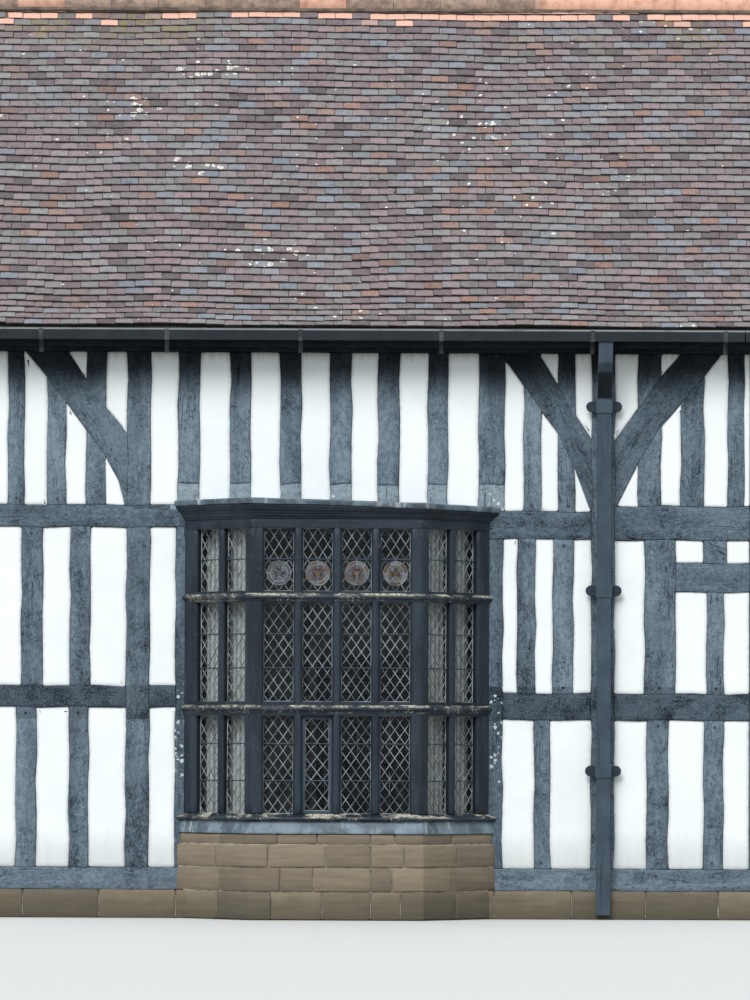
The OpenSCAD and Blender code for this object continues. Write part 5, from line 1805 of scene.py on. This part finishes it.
def swept(lines: Sequence[tuple], name: str, finish: Finish, sides: int = 6) -> bpy.types.Object:
    """Makes one piece of round bars by a tree that gives each line a body of its own radius.

    Args:
        lines: (start, end, radius) of each bar.
        name: the piece's name.
        finish: its finish.
        sides: how many sides a bar has.

    Returns:
        The piece.
    """
    t = NodeTree("swept " + name)
    ring = t.geo("CurvePrimitiveCircle", {"Resolution": t.size("Sides", "Int"), "Radius": 1.0})
    t.end(t.geo("CurveToMesh", {"Curve": t.geo("MeshToCurve", {0: t.source}), "Profile Curve": ring,
                                "Fill Caps": True, "Scale": t.read("radius")}), finish)
    mesh = bpy.data.meshes.new(name)
    ends = [p for line in lines for p in line[:2]]
    mesh.from_pydata(ends, [(i, i + 1) for i in range(0, len(ends), 2)], [])
    mark(mesh, "radius", [line[2] for line in lines for _ in range(2)])
    return finished(t.run(mesh, {"Sides": sides}), name, finish, 50)


@dataclass
class Rosette:
    """A plain round of coloured glass: petals about a boss in a ring of short panes."""

    radius: float
    petals: int
    colours: tuple
    rise: float = 0.006

    def build(self, light: Light, middle: tuple, points: list, faces: list, tints: list) -> list:
        """Adds the rosette's glass and returns its leads.

        Args:
            light: the light that it hangs in.
            middle: its centre in the light.
            points: corners that it adds to.
            faces: faces that it adds to.
            tints: a colour for each corner.

        Returns:
            Its leads as (start, end, radius).
        """
        def spot(angle: float, reach: float) -> Vector:
            """A point of the rosette."""
            u, v = middle
            return light.at(u + reach * math.cos(angle), v + reach * math.sin(angle), self.rise)

        def pane(corners: Outline, tint: tuple) -> None:
            """Adds one coloured pane as a thin closed body."""
            base = len(points)
            n = len(corners)
            front = [spot(a, r) for a, r in corners]
            points.extend(front)
            points.extend(p - light.out * 0.002 for p in front)
            for face in plate_faces(n):
                faces.append([base + i for i in face])
            tints.extend([tint] * (2 * n))

        leads = []
        inner, mid, outer = 0.24 * self.radius, 0.72 * self.radius, self.radius
        step = 2 * math.pi / self.petals
        first, second, third, ring = self.colours
        pane([(k * math.pi / 4, inner) for k in range(8)], third)
        full = 0.6 * self.radius
        for k in range(self.petals):
            a = k * step
            pane([(a, inner), (a + 0.22 * step, full), (a, mid), (a - 0.22 * step, full)],
                 first if k % 2 else second)
            pane([(a + 0.5 * step, inner), (a + 0.78 * step, full), (a + 0.9 * step, mid),
                  (a + 0.5 * step, mid), (a + 0.1 * step, mid), (a + 0.22 * step, full)], ring)
            pane([(a, mid), (a + step / 2, mid), (a + step, mid), (a + step, outer), (a + step / 2, outer),
                  (a, outer)], second if k % 2 else third)
            leads.append((spot(a, mid), spot(a, outer), 0.0032))
            for reach in (mid, outer):
                leads.append((spot(a, reach), spot(a + step / 2, reach), 0.0036))
                leads.append((spot(a + step / 2, reach), spot(a + step, reach), 0.0036))
        return leads


@dataclass
class BayWindow:
    """The canted bay: moulded joinery, worn drips, a lead roof, leaded lights, a casement and curtains."""

    joinery: Dressing = Dressing(arris=0.0035, steps=1, pitch=0.11, rough=0.0007)
    worn: Dressing = Dressing(arris=0.005, steps=2, pitch=0.045, rough=0.003, sway=0.004)
    sheet: Dressing = Dressing(arris=0.010, steps=2, pitch=0.055, rough=0.004, sway=0.012)
    saddle: tuple = (3.228, 2.557, 2.253, 1.575, 1.244)
    glazing: LeadedGlazing = field(default_factory=LeadedGlazing)
    reds: tuple = (rgb(134, 84, 80), rgb(128, 130, 136), rgb(120, 100, 76), rgb(92, 92, 98))
    greys: tuple = (rgb(118, 126, 136), rgb(86, 94, 104), rgb(96, 96, 92), rgb(108, 114, 122))
    golds: tuple = (rgb(128, 122, 72), rgb(140, 140, 148), rgb(98, 70, 56), rgb(104, 104, 112))
    settled: tuple = ((-1.75, 0.012), (-1.05, 0.013), (0.48, -0.026), (1.17, -0.047))

    def build(self) -> None:
        """Builds the bay."""
        for node in ("bay_posts", "bay_mullions", "bay_transoms", "bay_head", "bay_cornice"):
            self.joinery.piece("joinery_" + node, node, JOINERY)
        self.worn.piece("joinery_bay_drips", "bay_drips", DRIP)
        self.worn.piece("joinery_bay_sill", "bay_sill", DRIP)
        self.worn.piece("lead_apron", "bay_apron", LEAD)
        self.sheet.piece("lead_roof", "bay_lead_roof", ROOF_LEAD)
        self.settle(("lead_roof", "joinery_bay_cornice"))
        self.glass()
        self.casement()
        self.curtains()

    def settle(self, names: Sequence[str]) -> None:
        """Moves the bay's top up and down along its front, as far as it has settled.

        Args:
            names: the pieces that have moved.
        """
        low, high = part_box("bay_cornice")
        xs, moves = zip(*self.settled)
        for name in names:
            for vert in bpy.data.objects[name].data.vertices:
                share = min(max((vert.co.z - low.z) / (high.z - low.z), 0.0), 1.0)
                vert.co.z += share * float(np.interp(vert.co.x, xs, moves))

    def glass(self) -> None:
        """Glazes every light of the bay."""
        rng = random.Random(77)
        lights = lights_of("bay_glass")
        panes, leads, bars = Parts(), [], []
        points, faces, tints = [], [], []
        for light in lights:
            self.glazing.panes(light, panes, rng)
            leads += self.glazing.leads(light)
            bars += self.glazing.bars(light, self.saddle)
        top = max(light.corner.z for light in lights)
        front = sorted((light for light in lights if light.corner.z > top - 0.01 and light.out.y < -0.99),
                       key=lambda light: light.corner.x)
        plans = ((6, self.greys), (8, self.reds), (8, self.reds), (6, self.golds))
        for light, (petals, colours) in zip(front, plans):
            rose = Rosette(0.41 * light.wide, petals, colours)
            leads += rose.build(light, (light.wide / 2, self.saddle[0] - light.corner.z - 0.47 * light.wide),
                                points, faces, tints)
        panes.build("bay_quarries", GLASS, "bay_glass")
        swept(leads, "bay_leads", CAME)
        swept(bars, "bay_saddle_bars", IRON, 8)
        mesh = bpy.data.meshes.new("bay_rosettes")
        mesh.from_pydata(points, [], faces)
        layer = mesh.color_attributes.new("tint", "FLOAT_COLOR", "POINT")
        layer.data.foreach_set("color", np.array(tints, np.float32).ravel())
        finished(mesh, "bay_rosettes", STAINED)

    def casement(self) -> None:
        """Makes the iron opening light and its catch and stay."""
        Dressing(arris=0.003, steps=2, pitch=0.0, rough=0.0).piece("iron_casement", "bay_casement", IRON)

    def curtains(self) -> None:
        """Hangs one gathered linen curtain behind each canted side."""
        for number, solid in enumerate(bodies_of("bay_curtains")):
            self.curtain(("curtain_left", "curtain_right")[number], random.Random(40 + number), *lie(solid))

    def curtain(self, name: str, rng: random.Random, side: Vector, out: Vector, along: tuple, deep: tuple,
                tall: tuple) -> None:
        """Makes one curtain.

        Args:
            name: its name.
            rng: its random numbers.
            side: the direction along it.
            out: the direction out of the window.
            along: where it starts and ends along its side.
            deep: the space that its folds keep within.
            tall: its foot and top.
        """
        folds = 11
        columns, rows = folds * 10, 36
        phase = [rng.uniform(-0.6, 0.6) for _ in range(folds + 1)]
        middle, reach = (deep[0] + deep[1]) / 2, (deep[1] - deep[0]) / 2 - 0.002
        high = tall[1] - tall[0]
        points, inward, reach_sum = [], [], 0.0
        for j in range(rows + 1):
            v = j / rows
            row = []
            for i in range(columns + 1):
                u = i / columns
                place = u * folds
                k = int(min(place, folds - 1e-6))
                wander = phase[k] + (phase[k + 1] - phase[k]) * (place - k)
                fold = (0.62 + 0.3 * math.sin(3.1 * u + v)) * math.sin(2 * math.pi * place + wander * (1 - v))
                inward.append(fold)
                lean = 0.006 * math.sin(math.pi * place + 4 * v) * (1 - v)
                at = along[0] + (along[1] - along[0]) * u + lean * (0 < i < columns)
                row.append(side * at + out * (middle + reach * fold) + UP * (tall[0] + high * v))
            points += row
            reach_sum += sum((b - a).length for a, b in zip(row, row[1:]))
        flat = reach_sum / (rows + 1)
        n = columns + 1
        faces = [(j * n + i, j * n + i + 1, (j + 1) * n + i + 1, (j + 1) * n + i)
                 for j in range(rows) for i in range(columns)]
        mesh = bpy.data.meshes.new(name)
        mesh.from_pydata(points, [], faces)
        mark(mesh, "fold", inward)
        uv = mesh.uv_layers.new(name="UVMap")
        for loop in mesh.loops:
            j, i = divmod(loop.vertex_index, n)
            uv.data[loop.index].uv = (flat * i / columns, high * j / rows)
        made = finished(mesh, name, LINEN, 80)
        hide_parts("bay_curtains")


@dataclass
class BackWall:
    """The plain back windows and the plank door."""

    joinery: Dressing = Dressing(arris=0.004, steps=1, pitch=0.12, rough=0.0008)
    board: Dressing = Dressing(arris=0.004, steps=2, pitch=0.09, rough=0.0015)
    planks: int = 5
    strap_h: float = 0.05
    strap_t: float = 0.006

    def build(self) -> None:
        """Builds the back's windows and door."""
        self.joinery.piece("joinery_back_windows", "back_windows", JOINERY)
        self.joinery.piece("joinery_back_door_frame", "back_door_frame", JOINERY)
        rng = random.Random(9)
        glazing = LeadedGlazing()
        panes, leads = Parts(), []
        for light in lights_of("back_glass"):
            glazing.panes(light, panes, rng)
            leads += glazing.leads(light)
        panes.build("back_quarries", GLASS, "back_glass")
        swept(leads, "back_leads", CAME)
        self.door()

    def door(self) -> None:
        """Makes the door of upright planks with strap hinges and a ring handle."""
        low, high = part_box("back_door")
        rng = random.Random(6)
        parts = Parts()
        wide = (high.x - low.x) / self.planks
        for k in range(self.planks):
            x0, x1 = low.x + k * wide, low.x + (k + 1) * wide
            self.board.collect(block(x0, low.y + 0.012, x1, high.y, low.z + 0.004, high.z), parts, rng)
        for z in (low.z + 0.25, (low.z + high.z) / 2, high.z - 0.3):
            ledge = block(low.x + 0.03, low.y - 0.012, high.x - 0.03, low.y + 0.013, z, z + 0.14)
            self.board.collect(ledge, parts, rng)
        parts.build("plank_door", PLAIN_OAK, "back_door", rough=self.board.rough, seed=2)
        iron = Parts()
        for z in (low.z + 0.32, high.z - 0.23):
            strap = block(low.x + 0.01, high.y - 0.001, high.x - 0.09, high.y + self.strap_t, z,
                          z + self.strap_h)
            Dressing(arris=0.0015, steps=1, pitch=0.0).collect(strap, iron, rng)
        iron.build("door_straps", IRON)
        centre = Vector((high.x - 0.09, high.y + 0.012, low.z + 1.0))
        ring = [centre + Vector((0.045 * math.sin(a), 0.0, -0.045 * math.cos(a)))
                for a in (2 * math.pi * k / 20 for k in range(20))]
        lines = [(a, b, 0.0055) for a, b in zip(ring, ring[1:] + ring[:1])]
        lines.append((centre + Vector((0, -0.014, 0.045)), centre + Vector((0, 0.006, 0.045)), 0.009))
        swept(lines, "door_ring", IRON, 10)


# The room that it stands in for its picture

@dataclass(frozen=True)
class PaleGround(Finish):
    """A plain ground, seen paler than it is lit."""

    def shade(self, s: Shader, at: Value) -> Value:
        """Returns the shader."""
        seen = s.add("LightPath")["Is Camera Ray"]
        return self.surface(s, s.mix(seen, rgb(146, 148, 142), rgb(212, 213, 211)), 0.9)


@dataclass
class Studio:
    """A plain pale floor, a white surround, soft light and the camera."""

    eye: tuple = (-0.28, -62.75, 1.57)
    aim: tuple = (0.054, -2.75, 3.783)
    lens: float = 238.7
    roll: float = 0.25
    world: float = 0.82
    sun: float = 2.2

    def build(self) -> None:
        """Builds the studio."""
        mesh = bpy.data.meshes.new("floor")
        corners = ((-1, -1), (1, -1), (1, 1), (-1, 1))
        mesh.from_pydata([(60 * x, 60 * y, 0) for x, y in corners], [], [(0, 1, 2, 3)])
        mesh.materials.append(PaleGround("pale floor", "floor").material())
        floor = placed("floor", mesh)
        floor.location.z = -0.002
        self.surround()
        light = bpy.data.lights.new("soft sun", "SUN")
        light.energy = self.sun
        light.angle = math.radians(30)
        placed("soft sun", light).rotation_euler = (math.radians(50), 0, math.radians(-18))
        camera = bpy.data.cameras.new("camera")
        camera.lens = self.lens
        camera.sensor_fit = "VERTICAL"
        camera.sensor_height = 36
        camera.clip_end = 300
        holder = placed("camera", camera)
        look = (Vector(self.aim) - Vector(self.eye)).to_track_quat("-Z", "Y")
        turn = look.to_matrix().to_4x4() @ Matrix.Rotation(math.radians(self.roll), 4, "Z")
        holder.matrix_world = Matrix.Translation(self.eye) @ turn
        bpy.context.scene.camera = holder
        bpy.context.scene.view_settings.view_transform = "Standard"

    def surround(self) -> None:
        """Sets the even light from all round, and what the camera sees of it."""
        world = bpy.data.worlds.new("surround")
        bpy.context.scene.world = world
        s = Shader.of(world)
        path = s.add("LightPath")
        seen = s.math("MAXIMUM", path["Is Camera Ray"], path["Is Transmission Ray"])
        strength = seen * (1.0 - self.world) + self.world
        back = s.add("Background", {"Color": (0.93, 0.965, 1.0, 1.0), "Strength": strength})
        s.add("OutputWorld", {"Surface": back})


def main() -> None:
    """Builds the house piece by piece."""
    logging.basicConfig(level=logging.INFO, format="%(message)s")
    Studio().build()
    TimberFrame().build()
    PlasterPanels().build()
    TileRoof().build()
    RoofTrim().build()
    Rainwater().build()
    StoneBase().build()
    BayWindow().build()
    BackWall().build()


if __name__ == "__main__":
    main()
